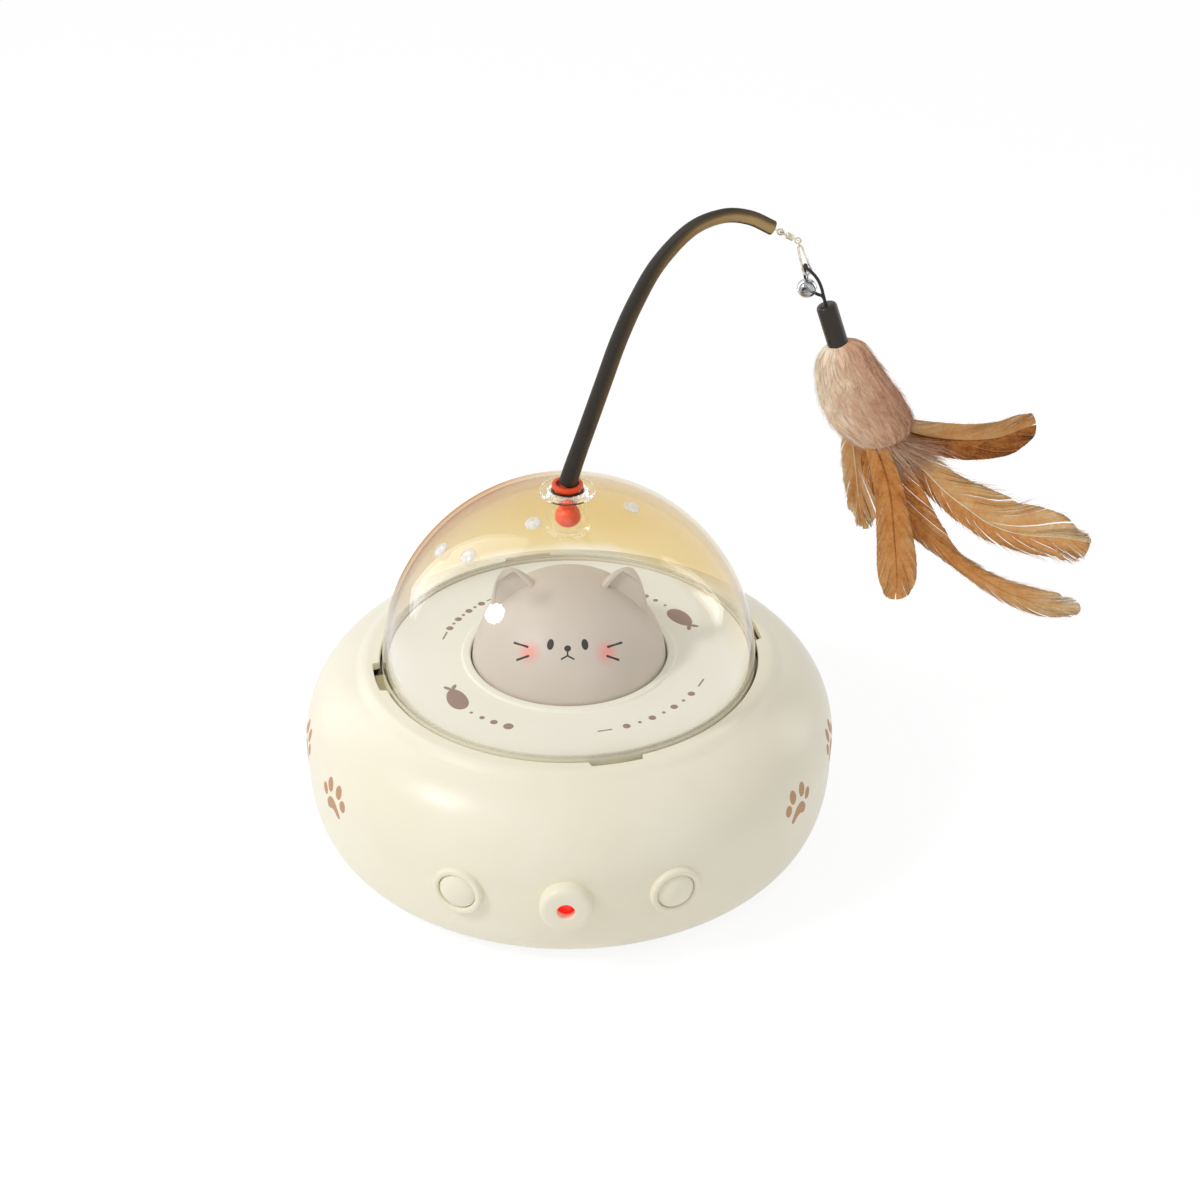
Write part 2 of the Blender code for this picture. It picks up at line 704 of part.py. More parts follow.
def smooth_route(points, steps):
    """Evenly spaced points on a smooth curve through the given ones (Catmull-Rom)."""
    knots = [Vector(point) for point in points]
    knots = [2 * knots[0] - knots[1]] + knots + [2 * knots[-1] - knots[-2]]
    dense = []
    pieces = len(knots) - 3
    for k in range(pieces):
        a, b, c, d = knots[k:k + 4]
        for i in range(ROUTE_FINENESS):
            t = i / ROUTE_FINENESS
            dense.append(((2 * b) + (c - a) * t + (2 * a - 5 * b + 4 * c - d) * t ** 2
                          + (3 * b - a - 3 * c + d) * t ** 3) / 2)
    dense.append(knots[-2])
    lengths = [0.0]
    for before, after in zip(dense, dense[1:]):
        lengths.append(lengths[-1] + (after - before).length)
    route = []
    at = 0
    for i in range(steps + 1):
        want = lengths[-1] * i / steps
        while at < len(dense) - 2 and lengths[at + 1] < want:
            at += 1
        span = lengths[at + 1] - lengths[at]
        share = (want - lengths[at]) / span if span else 0.0
        route.append(dense[at].lerp(dense[at + 1], share))
    return route


def loft(name, sections):
    """A closed skin over sections that each have the same number of points."""
    mesh_builder = bmesh.new()
    rings = [[mesh_builder.verts.new(point) for point in section] for section in sections]
    count = len(rings[0])
    for ring, after in zip(rings, rings[1:]):
        for i in range(count):
            j = (i + 1) % count
            mesh_builder.faces.new((ring[i], ring[j], after[j], after[i]))
    mesh_builder.faces.new(rings[0][::-1])
    mesh_builder.faces.new(rings[-1])
    bmesh.ops.recalc_face_normals(mesh_builder, faces=mesh_builder.faces)
    mesh = bpy.data.meshes.new(name)
    mesh_builder.to_mesh(mesh)
    mesh_builder.free()
    obj = bpy.data.objects.new(name, mesh)
    bpy.context.scene.collection.objects.link(obj)
    return obj


def screw(name, seat, direction, length, parent, sides=TINY_SIDES):
    """A pan-head screw: seat is where the head's underside rests, direction is the way it goes in."""
    profile = [
        (0.0, -SCREW_HEAD_HEIGHT), (SCREW_RADIUS, -SCREW_HEAD_HEIGHT),
        (SCREW_HEAD_RADIUS, -SCREW_HEAD_HEIGHT / 3), (SCREW_HEAD_RADIUS, 0.0),
        (SCREW_RADIUS, 0.0), (SCREW_RADIUS, length - SCREW_RADIUS), (0.0, length),
    ]
    flip = Vector(direction).z > 0
    heights = [(radius, height if flip else -height) for radius, height in profile]
    if flip:
        heights = heights[::-1]
    return keep(turned(name, heights, sides, Matrix.Translation(seat), False), steel(), parent)


def casing_curve(inset, upper, steps):
    """Points on the casing's rounded side, set in from its outer surface, from top to bottom."""
    top = RIM_HEIGHT - inset
    bottom = BASE_UNDERSIDE + inset
    radius = BASE_RADIUS - inset
    points = []
    if upper:
        for i in range(steps + 1):
            t = math.pi / 2 * (1 - i / steps)
            points.append((CROWN_RADIUS + (radius - CROWN_RADIUS) * math.cos(t) ** (2 / UPPER_POWER),
                           WIDEST_HEIGHT + (top - WIDEST_HEIGHT) * math.sin(t) ** (2 / UPPER_POWER)))
    else:
        for i in range(1, steps + 1):
            t = math.pi / 2 * i / steps
            reach = max(math.cos(t), 0.0) ** (2 / LOWER_POWER)
            points.append((FLAT_RADIUS + (radius - FLAT_RADIUS) * reach,
                           WIDEST_HEIGHT - (WIDEST_HEIGHT - bottom) * math.sin(t) ** (2 / LOWER_POWER)))
    return points


def height_on_crown(radius, inset):
    """Height of the casing's upper curve at a radius."""
    share = (radius - CROWN_RADIUS) / (BASE_RADIUS - inset - CROWN_RADIUS)
    rise = (1 - share ** UPPER_POWER) ** (1 / UPPER_POWER)
    return WIDEST_HEIGHT + (RIM_HEIGHT - inset - WIDEST_HEIGHT) * rise


def casing_profile():
    """The upper casing's wall: over the collar, down the side, and back inside to the recess."""
    level_end = RECESS_RADIUS + COLLAR_WIDTH
    slope_end = level_end + COLLAR_SLOPE
    channel_outside = CHANNEL_RADIUS + BASE_WALL
    profile = [
        (RECESS_RADIUS, RIM_HEIGHT - COLLAR_EDGE), (RECESS_RADIUS + COLLAR_EDGE, RIM_HEIGHT),
        (level_end, RIM_HEIGHT - COLLAR_EDGE / 4),
        (level_end + COLLAR_SLOPE / 3, RIM_HEIGHT - COLLAR_EDGE),
        (slope_end, height_on_crown(slope_end, 0.0)),
    ]
    profile += [point for point in casing_curve(0.0, True, UPPER_STEPS)
                if point[0] > slope_end + OVERRUN / 2]
    profile += casing_curve(0.0, False, LOWER_STEPS)
    cover_edge = FLAT_RADIUS - BASE_WALL
    profile += [(cover_edge, BASE_UNDERSIDE), (cover_edge, CASING_INNER_FLOOR)]
    inner = casing_curve(BASE_WALL, False, INNER_STEPS)[::-1]
    inner += [point for point in casing_curve(BASE_WALL, True, INNER_STEPS + 1)[::-1]
              if point[0] > channel_outside]
    profile += inner
    profile += [
        (channel_outside, height_on_crown(channel_outside, BASE_WALL)),
        (channel_outside, FLOOR_UNDERSIDE), (FLOOR_INNER_RADIUS, FLOOR_UNDERSIDE),
        (FLOOR_INNER_RADIUS, FLOOR_TOP), (CHANNEL_RADIUS, FLOOR_TOP),
        (CHANNEL_RADIUS, LIP_UNDERSIDE), (RECESS_RADIUS, LIP_UNDERSIDE),
    ]
    return profile


def button_angles():
    return {"left": FRONT_ANGLE - BUTTON_SPREAD, "right": FRONT_ANGLE + BUTTON_SPREAD}


def notch_frame(index, radius, height):
    degrees = LUG_ANGLE + index * 360.0 / NOTCH_COUNT
    place = Matrix.Translation(on_circle(radius, degrees, height))
    return place @ Matrix.Rotation(math.radians(degrees), 4, "Z")


def column_place(index):
    return on_circle(COLUMN_CIRCLE, 360.0 / COLUMN_COUNT * (index + 0.5))


def chassis_screw_place(index):
    return on_circle(CHASSIS_SCREW_CIRCLE, CHASSIS_SCREW_ANGLE + index * 360.0 / CHASSIS_SCREW_COUNT)


def usb_height():
    return BOARD_HEIGHT + BOARD_THICKNESS + GAP + USB_HEIGHT / 2


def board_front():
    """The middle of the switch boards lies this far from the casing's axis, at their front face."""
    cap_back = BASE_RADIUS - BEZEL_STEM_LENGTH - GAP - CAP_FLANGE_THICKNESS
    return cap_back - CAP_STEM_LENGTH - PRESS_CLEARANCE - SWITCH_STEM_RISE - SWITCH_THICKNESS


def base_shell(parent):
    """The upper casing with its columns, bosses, notches and openings."""
    shell = turned("base_shell", casing_profile(), LARGE_SIDES)
    additions = []
    for i in range(COLUMN_COUNT):
        additions.append(("rod", COLUMN_RADIUS, COVER_TOP + GAP, FLOOR_UNDERSIDE + SINK, SMALL_SIDES,
                          upright(*column_place(i))))
    boss_top = FLOOR_TOP + CHASSIS_BOSS_HEIGHT
    for i in range(CHASSIS_SCREW_COUNT):
        additions.append(("rod", CHASSIS_BOSS_RADIUS, FLOOR_TOP - SINK, boss_top, SMALL_SIDES,
                          upright(*chassis_screw_place(i))))
    for degrees in button_angles().values():
        for side in (-1, 1):
            frame = outward(degrees, FRONT_HEIGHT) @ upright(0.0, side * SWITCH_POST_OFFSET)
            additions.append(("rod", SWITCH_POST_RADIUS, board_front() + GAP,
                              BASE_RADIUS - BASE_WALL / 2 - SINK, TINY_SIDES, frame))
    join(shell, primitives("casing_bosses", additions))

    holes = []
    notch_outer = RECESS_RADIUS + NOTCH_DEPTH
    notch_inner = RECESS_RADIUS - OVERRUN
    notch_width = 2 * notch_outer * math.sin(math.radians(NOTCH_HALF_ANGLE))
    for i in range(NOTCH_COUNT):
        size = (notch_outer - notch_inner, notch_width, LIP_THICKNESS + OVERRUN)
        frame = notch_frame(i, (notch_outer + notch_inner) / 2, RIM_HEIGHT - LIP_THICKNESS / 2)
        holes.append(("box", size, frame))
    for degrees in button_angles().values():
        holes.append(("rod", BEZEL_STEM_RADIUS + GAP, BASE_RADIUS - BASE_WALL - OVERRUN,
                      BASE_RADIUS + OVERRUN, MEDIUM_SIDES, outward(degrees, FRONT_HEIGHT)))
    holes.append(("rod", BOSS_STEM_RADIUS + GAP, BASE_RADIUS - BASE_WALL - OVERRUN,
                  BASE_RADIUS + OVERRUN, MEDIUM_SIDES, outward(FRONT_ANGLE, FRONT_HEIGHT)))
    usb_frame = outward(REAR_ANGLE, usb_height()) @ upright(0.0, 0.0, BASE_RADIUS)
    slot = (USB_HEIGHT + 2 * GAP, USB_WIDTH + 2 * GAP, 2 * (USB_SETBACK + USB_LENGTH + GAP))
    holes.append(("box", slot, usb_frame))
    for i in range(COLUMN_COUNT):
        holes.append(("rod", SCREW_RADIUS + GAP, COVER_TOP - OVERRUN, COVER_TOP + COLUMN_HOLE_DEPTH,
                      TINY_SIDES, upright(*column_place(i))))
    for i in range(CHASSIS_SCREW_COUNT):
        holes.append(("rod", SCREW_RADIUS + GAP, FLOOR_UNDERSIDE - OVERRUN, boss_top - SCREW_RADIUS,
                      TINY_SIDES, upright(*chassis_screw_place(i))))
    cut(shell, primitives("casing_openings", holes))
    return keep(shell, cream(), parent)


def foot_place(index):
    return on_circle(FOOT_CIRCLE, index * 360.0 / COLUMN_COUNT)


def board_post_places():
    return [(side * (BOARD_LENGTH / 2 - BOARD_POST_INSET), y)
            for side in (-1, 1)
            for y in (BOARD_POST_REAR - BOARD_POST_SPACING, BOARD_POST_REAR)]


def bottom_cover(parent):
    """The flat cover with wells for the screws, recesses for the feet and posts for the board."""
    edge = FLAT_RADIUS - BASE_WALL - GAP
    cover = round_rod("bottom_cover", edge, BASE_UNDERSIDE, COVER_TOP, LARGE_SIDES)
    posts = []
    for x, y in board_post_places():
        posts.append(("rod", BOARD_POST_RADIUS, COVER_TOP - SINK, BOARD_HEIGHT - GAP, SMALL_SIDES,
                      upright(x, y)))
        posts.append(("rod", BOARD_PEG_RADIUS, BOARD_HEIGHT - GAP - SINK,
                      BOARD_HEIGHT + BOARD_THICKNESS + SINK, TINY_SIDES, upright(x, y)))
    for post in posts[::2]:
        join(cover, primitives("board_post", [post]))
    join(cover, primitives("board_pegs", posts[1::2]))
    holes = []
    for i in range(COLUMN_COUNT):
        frame = upright(*column_place(i))
        holes.append(("rod", SCREW_RADIUS + GAP, BASE_UNDERSIDE, COVER_TOP + OVERRUN, TINY_SIDES, frame))
    cut(cover, primitives("cover_holes", holes))
    wells = []
    for i in range(COLUMN_COUNT):
        wells.append(("rod", WELL_RADIUS, BASE_UNDERSIDE - OVERRUN, BASE_UNDERSIDE + WELL_DEPTH,
                      SMALL_SIDES, upright(*column_place(i))))
        wells.append(("rod", FOOT_RADIUS + GAP, BASE_UNDERSIDE - OVERRUN, BASE_UNDERSIDE + FOOT_RECESS,
                      MEDIUM_SIDES, upright(*foot_place(i))))
    cut(cover, primitives("cover_wells", wells))
    return keep(cover, cream(), parent)


def feet_and_cover_screws(parent):
    top = BASE_UNDERSIDE + FOOT_RECESS - GAP
    for i in range(COLUMN_COUNT):
        pad = round_rod(f"foot_pad_{i + 1}", FOOT_RADIUS, 0.0, top, MEDIUM_SIDES, upright(*foot_place(i)))
        keep(pad, grey_rubber(), parent)
        seat = column_place(i) + Vector((0.0, 0.0, BASE_UNDERSIDE + WELL_DEPTH - GAP))
        screw(f"cover_screw_{i + 1}", seat, (0, 0, 1), COVER_SCREW_LENGTH, parent)


def motor_place():
    return on_circle(MOTOR_CIRCLE, MOTOR_ANGLE)


def motor_screw_places():
    """The two screws stand either side of the shaft, across the line from the casing's axis."""
    offset = on_circle(MOTOR_SCREW_OFFSET, MOTOR_ANGLE + 90.0)
    return [motor_place() + offset, motor_place() - offset]


def chassis(parent):
    """The plate under the recess with the hollow post that the turntable runs on."""
    seat_top = CHASSIS_TOP + SEAT_HEIGHT
    profile = [
        (POST_BORE, POST_TOP), (POST_RADIUS, POST_TOP), (POST_RADIUS, seat_top), (SEAT_RADIUS, seat_top),
        (SEAT_RADIUS, CHASSIS_TOP), (CHASSIS_RADIUS, CHASSIS_TOP), (CHASSIS_RADIUS, CHASSIS_UNDERSIDE),
        (POST_BORE, CHASSIS_UNDERSIDE),
    ]
    plate = turned("chassis_plate", profile, LARGE_SIDES)
    low = CHASSIS_UNDERSIDE - OVERRUN
    high = CHASSIS_TOP + OVERRUN
    holes = [("rod", PINION_HUB_RADIUS + GAP, low, high, SMALL_SIDES, upright(*motor_place()))]
    for i in range(CHASSIS_SCREW_COUNT):
        holes.append(("rod", SCREW_RADIUS + GAP, low, high, TINY_SIDES, upright(*chassis_screw_place(i))))
    for place in motor_screw_places():
        holes.append(("rod", SCREW_RADIUS + GAP, low, high, TINY_SIDES, upright(*place)))
    for side in (0.0, 180.0):
        place = on_circle(HEAD_SCREW_CIRCLE, HEAD_SCREW_ANGLE + side)
        holes.append(("rod", SCREW_RADIUS + GAP, POST_TOP - HEAD_SCREW_LENGTH, POST_TOP + OVERRUN,
                      TINY_SIDES, upright(*place)))
    cut(plate, primitives("chassis_holes", holes))
    keep(plate, white_plastic(), parent)
    for i in range(CHASSIS_SCREW_COUNT):
        seat = chassis_screw_place(i) + Vector((0.0, 0.0, CHASSIS_UNDERSIDE - GAP))
        screw(f"chassis_screw_{i + 1}", seat, (0, 0, 1), CHASSIS_SCREW_LENGTH, parent)
    ring = washer("thrust_washer", HUB_BORE + GAP, SEAT_RADIUS, WASHER_LOW, WASHER_LOW + WASHER_THICKNESS,
                  MEDIUM_SIDES)
    keep(ring, white_plastic(), parent)


def ear(side):
    """One ear, flat in front and rounded behind, to be joined to the head."""
    roots = []
    for reach in (EAR_INNER_SIDE, EAR_OUTER_SIDE):
        rise = math.sqrt(HEAD_RADIUS ** 2 - reach ** 2) - EAR_REACH
        roots.append(Vector((side * reach, 0.0, HEAD_CENTRE_HEIGHT + rise)))
    root = (roots[0] + roots[1]) / 2
    half = (roots[1] - roots[0]) / 2
    tip = Vector((side * EAR_TIP_SIDE, 0.0, EAR_TIP_HEIGHT))
    sections = []
    for along_share, width_share, depth_share in EAR_SHARES:
        middle = root.lerp(tip, along_share)
        wide = half * width_share
        depth = Vector((0.0, EAR_THICKNESS * depth_share, 0.0))
        front = -depth * EAR_FRONT_SHARE
        back = depth * (1 - EAR_FRONT_SHARE)
        sections.append([middle - wide + front, middle + wide + front, middle + wide + back / 3,
                         middle + wide * EAR_BACK_SHARE + back, middle - wide * EAR_BACK_SHARE + back,
                         middle - wide + back / 3])
    return loft("ear", sections)


def cat_head(parent):
    """The hollow head with its ears, seated on a carrier disc that is screwed to the post."""
    inner_radius = HEAD_RADIUS - HEAD_WALL
    outer = [(HEAD_RADIUS * math.sin(math.pi / 2 * i / HEAD_STEPS),
              HEAD_CENTRE_HEIGHT + HEAD_RADIUS * math.cos(math.pi / 2 * i / HEAD_STEPS))
             for i in range(HEAD_STEPS + 1)]
    inner = [(inner_radius * math.sin(math.pi / 2 * i / HEAD_INNER_STEPS),
              HEAD_CENTRE_HEIGHT + inner_radius * math.cos(math.pi / 2 * i / HEAD_INNER_STEPS))
             for i in range(HEAD_INNER_STEPS + 1)]
    profile = outer + [(HEAD_RADIUS, HEAD_BOTTOM), (inner_radius, HEAD_BOTTOM)] + inner[::-1]
    head = turned("cat_head", profile, HEAD_SIDES, closed=False)
    for side in (-1, 1):
        join(head, ear(side))
    keep(head, head_plastic(), parent)

    carrier_top = CARRIER_LOW + CARRIER_THICKNESS
    carrier = round_rod("head_carrier", inner_radius - GAP, CARRIER_LOW, carrier_top,
                        HEAD_SIDES)
    holes = []
    for i, side in enumerate((0.0, 180.0)):
        place = on_circle(HEAD_SCREW_CIRCLE, HEAD_SCREW_ANGLE + side)
        holes.append(("rod", SCREW_RADIUS + GAP, CARRIER_LOW - OVERRUN, carrier_top + OVERRUN,
                      TINY_SIDES, upright(*place)))
        seat = place + Vector((0.0, 0.0, carrier_top + GAP))
        screw(f"head_screw_{i + 1}", seat, (0, 0, -1), HEAD_SCREW_LENGTH, parent)
    cut(carrier, primitives("carrier_holes", holes))
    keep(carrier, white_plastic(), parent)


def turntable(parent):
    """The printed disc with its skirt, flange, sleeve, web and hub, turned in one piece."""
    disc_low = DISC_TOP - DISC_THICKNESS
    skirt_inner = DISC_RADIUS - SKIRT_WALL
    sleeve_outer = DISC_HOLE_RADIUS + SLEEVE_WALL
    lip_outer = DISC_HOLE_RADIUS + DISC_LIP_WIDTH
    lip_top = DISC_TOP + DISC_LIP_RISE
    web_low = WEB_TOP - WEB_THICKNESS
    hub_outer = HUB_BORE + HUB_WALL
    hub_top = WEB_TOP + HUB_RISE
    profile = [
        (DISC_HOLE_RADIUS, lip_top - DISC_LIP_RISE), (DISC_HOLE_RADIUS + DISC_LIP_RISE, lip_top),
        (lip_outer - DISC_LIP_RISE, lip_top), (lip_outer, DISC_TOP),
        (DISC_RADIUS - COLLAR_EDGE, DISC_TOP), (DISC_RADIUS, DISC_TOP - COLLAR_EDGE),
        (DISC_RADIUS, FLANGE_TOP), (FLANGE_RADIUS, FLANGE_TOP), (FLANGE_RADIUS, FLANGE_BOTTOM),
        (skirt_inner, FLANGE_BOTTOM), (skirt_inner, disc_low), (sleeve_outer, disc_low),
        (sleeve_outer, web_low), (hub_outer, web_low), (hub_outer, HUB_BOTTOM), (HUB_BORE, HUB_BOTTOM),
        (HUB_BORE, hub_top), (hub_outer, hub_top), (hub_outer, WEB_TOP), (DISC_HOLE_RADIUS, WEB_TOP),
    ]
    disc = turned("turntable_disc", profile, LARGE_SIDES)
    keys = []
    for i in range(NOTCH_COUNT):
        degrees = LUG_ANGLE + (i + 0.5) * 360.0 / NOTCH_COUNT
        low = DISC_RADIUS - SKIRT_WALL / 2
        high = DOME_RADIUS - DOME_WALL / 4
        place = Matrix.Translation(on_circle((low + high) / 2, degrees, FLANGE_TOP + KEY_HEIGHT / 2 - SINK))
        frame = place @ Matrix.Rotation(math.radians(degrees), 4, "Z")
        keys.append(("box", (high - low, KEY_WIDTH, KEY_HEIGHT), frame))
    join(disc, primitives("drive_keys", keys))
    keep(disc, disc_plastic(), parent)


def involute(angle):
    return math.tan(angle) - angle


def flank_angle(teeth, radius, play):
    """Half the angle between a tooth's two flanks at a radius; play widens it."""
    pressure = math.radians(PRESSURE_ANGLE)
    base = GEAR_MODULE * teeth / 2 * math.cos(pressure)
    here = math.acos(min(1.0, base / max(radius, base)))
    return (math.pi / (2 * teeth) + play / (GEAR_MODULE * teeth) + involute(pressure) - involute(here))


def gear_outline(teeth, radii, play, turn):
    """The toothed outline, through the given radii up one flank of each tooth and down the other."""
    points = []
    for k in range(teeth):
        middle = turn + 2 * math.pi * k / teeth
        up = [(radius, middle - flank_angle(teeth, radius, play)) for radius in radii]
        down = [(radius, middle + flank_angle(teeth, radius, play)) for radius in reversed(radii)]
        points += [(radius * math.cos(angle), radius * math.sin(angle)) for radius, angle in up + down]
    return points


def ring_gear(parent):
    """The internal gear that hangs from the disc by its plain upper tube."""
    pitch = GEAR_MODULE * RING_TEETH / 2
    root = pitch + RING_ROOT_RISE
    outer = root + RING_WALL
    turn = math.radians(MOTOR_ANGLE)
    teeth = gear_outline(RING_TEETH, (pitch - RING_TIP_DROP, root), GEAR_PLAY, turn)
    ring = flat_piece("ring_gear", [ring_points(outer, LARGE_SIDES), teeth], GEAR_LOW, GEAR_TOP)
    upper = washer("ring_gear_tube", outer - RING_TUBE_WALL, outer, GEAR_TOP - SINK,
                   DISC_TOP - DISC_THICKNESS - GAP, LARGE_SIDES)
    join(ring, upper)
    keep(ring, white_plastic(), parent)


def pinion(parent):
    """The pinion on its motor shaft."""
    pitch = GEAR_MODULE * PINION_TEETH / 2
    root = pitch - PINION_ROOT_DROP
    tip = pitch + PINION_TIP_RISE
    turn = math.radians(MOTOR_ANGLE)
    teeth = gear_outline(PINION_TEETH, (root, (root + tip) / 2, tip), -GEAR_PLAY, turn)
    bore = ring_points(SHAFT_RADIUS + GAP, SMALL_SIDES)
    low = GEAR_LOW + PINION_INSET
    gear = flat_piece("pinion_gear", [teeth, bore], low, GEAR_TOP - PINION_INSET)
    gear.location += motor_place()
    hub = washer("pinion_hub", SHAFT_RADIUS + GAP, PINION_HUB_RADIUS, low - PINION_HUB_HEIGHT,
                 low + SINK, SMALL_SIDES, upright(*motor_place()))
    join(gear, hub)
    keep(gear, white_plastic(), parent)
    shaft_top = GEAR_TOP - PINION_INSET
    shaft = round_rod("motor_shaft", SHAFT_RADIUS, shaft_top - SHAFT_LENGTH, shaft_top, SMALL_SIDES,
                      upright(*motor_place()))
    keep(shaft, steel(), parent)


def gear_motor(parent):
    """The gearbox under the chassis plate, the motor under the gearbox and their two screws."""
    top = CHASSIS_UNDERSIDE - GAP
    low = top - GEARBOX_HEIGHT
    turn = Matrix.Rotation(math.radians(MOTOR_ANGLE), 4, "Z")
    middle = on_circle(MOTOR_CIRCLE - GEARBOX_SHIFT, MOTOR_ANGLE, (top + low) / 2)
    box = primitives("gearbox", [("box", (GEARBOX_LENGTH, GEARBOX_WIDTH, GEARBOX_HEIGHT),
                                  Matrix.Translation(middle) @ turn)])
    shaft_bottom = GEAR_TOP - PINION_INSET - SHAFT_LENGTH
    holes = [("rod", SHAFT_RADIUS + GAP, shaft_bottom - GAP, top + OVERRUN, SMALL_SIDES,
              upright(*motor_place()))]
    for i, place in enumerate(motor_screw_places()):
        seat = place + Vector((0.0, 0.0, CHASSIS_TOP + GAP))
        screw(f"motor_screw_{i + 1}", seat, (0, 0, -1), MOTOR_SCREW_LENGTH, parent)
        holes.append(("rod", SCREW_RADIUS + GAP, CHASSIS_TOP - MOTOR_SCREW_LENGTH, top + OVERRUN,
                      TINY_SIDES, upright(*place)))
    cut(box, primitives("gearbox_holes", holes))
    keep(box, dark_plastic(), parent)
    motor_top = low - GAP
    motor_low = motor_top - MOTOR_LENGTH
    profile = [
        (0.0, motor_top), (MOTOR_RADIUS, motor_top), (MOTOR_RADIUS, motor_low),
        (MOTOR_NOSE_RADIUS, motor_low), (MOTOR_NOSE_RADIUS, motor_low - MOTOR_NOSE_HEIGHT),
        (0.0, motor_low - MOTOR_NOSE_HEIGHT),
    ]
    can = turned("motor_can", profile, MEDIUM_SIDES, upright(middle.x, middle.y), False)
    keep(can, steel(), parent)


def battery(parent):
    """The round cell in its cradle, and the two leads to the control board."""
    lying = Matrix.Translation((0.0, CELL_SIDE, CELL_HEIGHT)) @ Matrix.Rotation(math.radians(90.0), 4, "Y")
    half = CELL_LENGTH / 2
    profile = [
        (0.0, half + CELL_BUTTON_HEIGHT), (CELL_BUTTON_RADIUS, half + CELL_BUTTON_HEIGHT),
        (CELL_BUTTON_RADIUS, half), (CELL_RADIUS - CELL_BUTTON_HEIGHT, half),
        (CELL_RADIUS, half - CELL_BUTTON_HEIGHT), (CELL_RADIUS, -half), (0.0, -half),
    ]
    keep(turned("battery_cell", profile, MEDIUM_SIDES, lying, False), cell_blue(), parent)
    inside = CELL_LENGTH + CELL_BUTTON_HEIGHT + 2 * GAP
    shift = CELL_BUTTON_HEIGHT / 2
    low = COVER_TOP + GAP
    size = (inside + 2 * CRADLE_WALL, 2 * (CELL_RADIUS + GAP + CRADLE_WALL), CRADLE_HEIGHT)
    cradle = primitives("battery_cradle", [("box", size, upright(shift, CELL_SIDE, low + CRADLE_HEIGHT / 2))])
    cut(cradle, primitives("cell_space", [("rod", CELL_RADIUS + GAP, shift - inside / 2,
                                           shift + inside / 2, MEDIUM_SIDES, lying)]))
    keep(cradle, dark_plastic(), parent)
    red = material("red_wire", (0.60, 0.03, 0.02), 0.5)
    for i, (name, finish) in enumerate((("battery_lead_red", red), ("battery_lead_black", black()))):
        shift = Vector((-i * LEAD_SPACING, 0.0, 0.0))
        route = smooth_route([Vector(point) + shift for point in LEAD_ROUTE], LEAD_STEPS)
        keep(tube(name, route, LEAD_RADIUS, 1), finish, parent)


def control_board(parent):
    """The control board on its posts, with the charging port at its rear edge."""
    size = (BOARD_LENGTH, BOARD_REAR - BOARD_FRONT, BOARD_THICKNESS)
    middle = upright(0.0, (BOARD_REAR + BOARD_FRONT) / 2, BOARD_HEIGHT + BOARD_THICKNESS / 2)
    board = primitives("control_board", [("box", size, middle)])
    holes = [("rod", BOARD_PEG_RADIUS + GAP, BOARD_HEIGHT - OVERRUN, BOARD_HEIGHT + BOARD_THICKNESS
              + OVERRUN, TINY_SIDES, upright(x, y)) for x, y in board_post_places()]
    cut(board, primitives("board_holes", holes))
    keep(board, board_green(), parent)
    frame = outward(REAR_ANGLE, usb_height()) @ upright(0.0, 0.0, USB_REACH - USB_LENGTH / 2)
    port = primitives("usb_port", [("box", (USB_HEIGHT, USB_WIDTH, USB_LENGTH), frame)])
    mouth = outward(REAR_ANGLE, usb_height()) @ upright(0.0, 0.0, USB_REACH - USB_LENGTH / 2 + USB_WALL)
    hollow = (USB_HEIGHT - 2 * USB_WALL, USB_WIDTH - 2 * USB_WALL, USB_LENGTH)
    cut(port, primitives("usb_mouth", [("box", hollow, mouth)]))
    tongue_length = USB_LENGTH - 2 * USB_WALL
    tongue_size = (USB_TONGUE, hollow[1] * USB_TONGUE_SHARE, tongue_length)
    tongue = outward(REAR_ANGLE, usb_height()) @ upright(0.0, 0.0, USB_REACH - USB_LENGTH + tongue_length / 2)
    join(port, primitives("usb_tongue", [("box", tongue_size, tongue)]))
    keep(port, steel(), parent)


def switch_module(name, degrees, parent):
    """A small board with a push switch behind one button."""
    front = board_front()
    flat = outward(degrees, FRONT_HEIGHT)
    board = (SWITCH_BOARD_WIDTH, SWITCH_BOARD_LENGTH, SWITCH_BOARD_THICKNESS)
    module = primitives(name, [("box", board, flat @ upright(0.0, 0.0, front - SWITCH_BOARD_THICKNESS / 2))])
    body = (SWITCH_SIZE, SWITCH_SIZE, SWITCH_THICKNESS + SINK)
    join(module, primitives("switch_body", [("box", body, flat @ upright(0.0, 0.0, front + (SWITCH_THICKNESS
                                                                           - SINK) / 2))]))
    join(module, primitives("switch_stem", [("rod", SWITCH_STEM_RADIUS, front + SWITCH_THICKNESS - SINK,
                                             front + SWITCH_THICKNESS + SWITCH_STEM_RISE, TINY_SIDES, flat)]))
    keep(module, board_green(), parent)


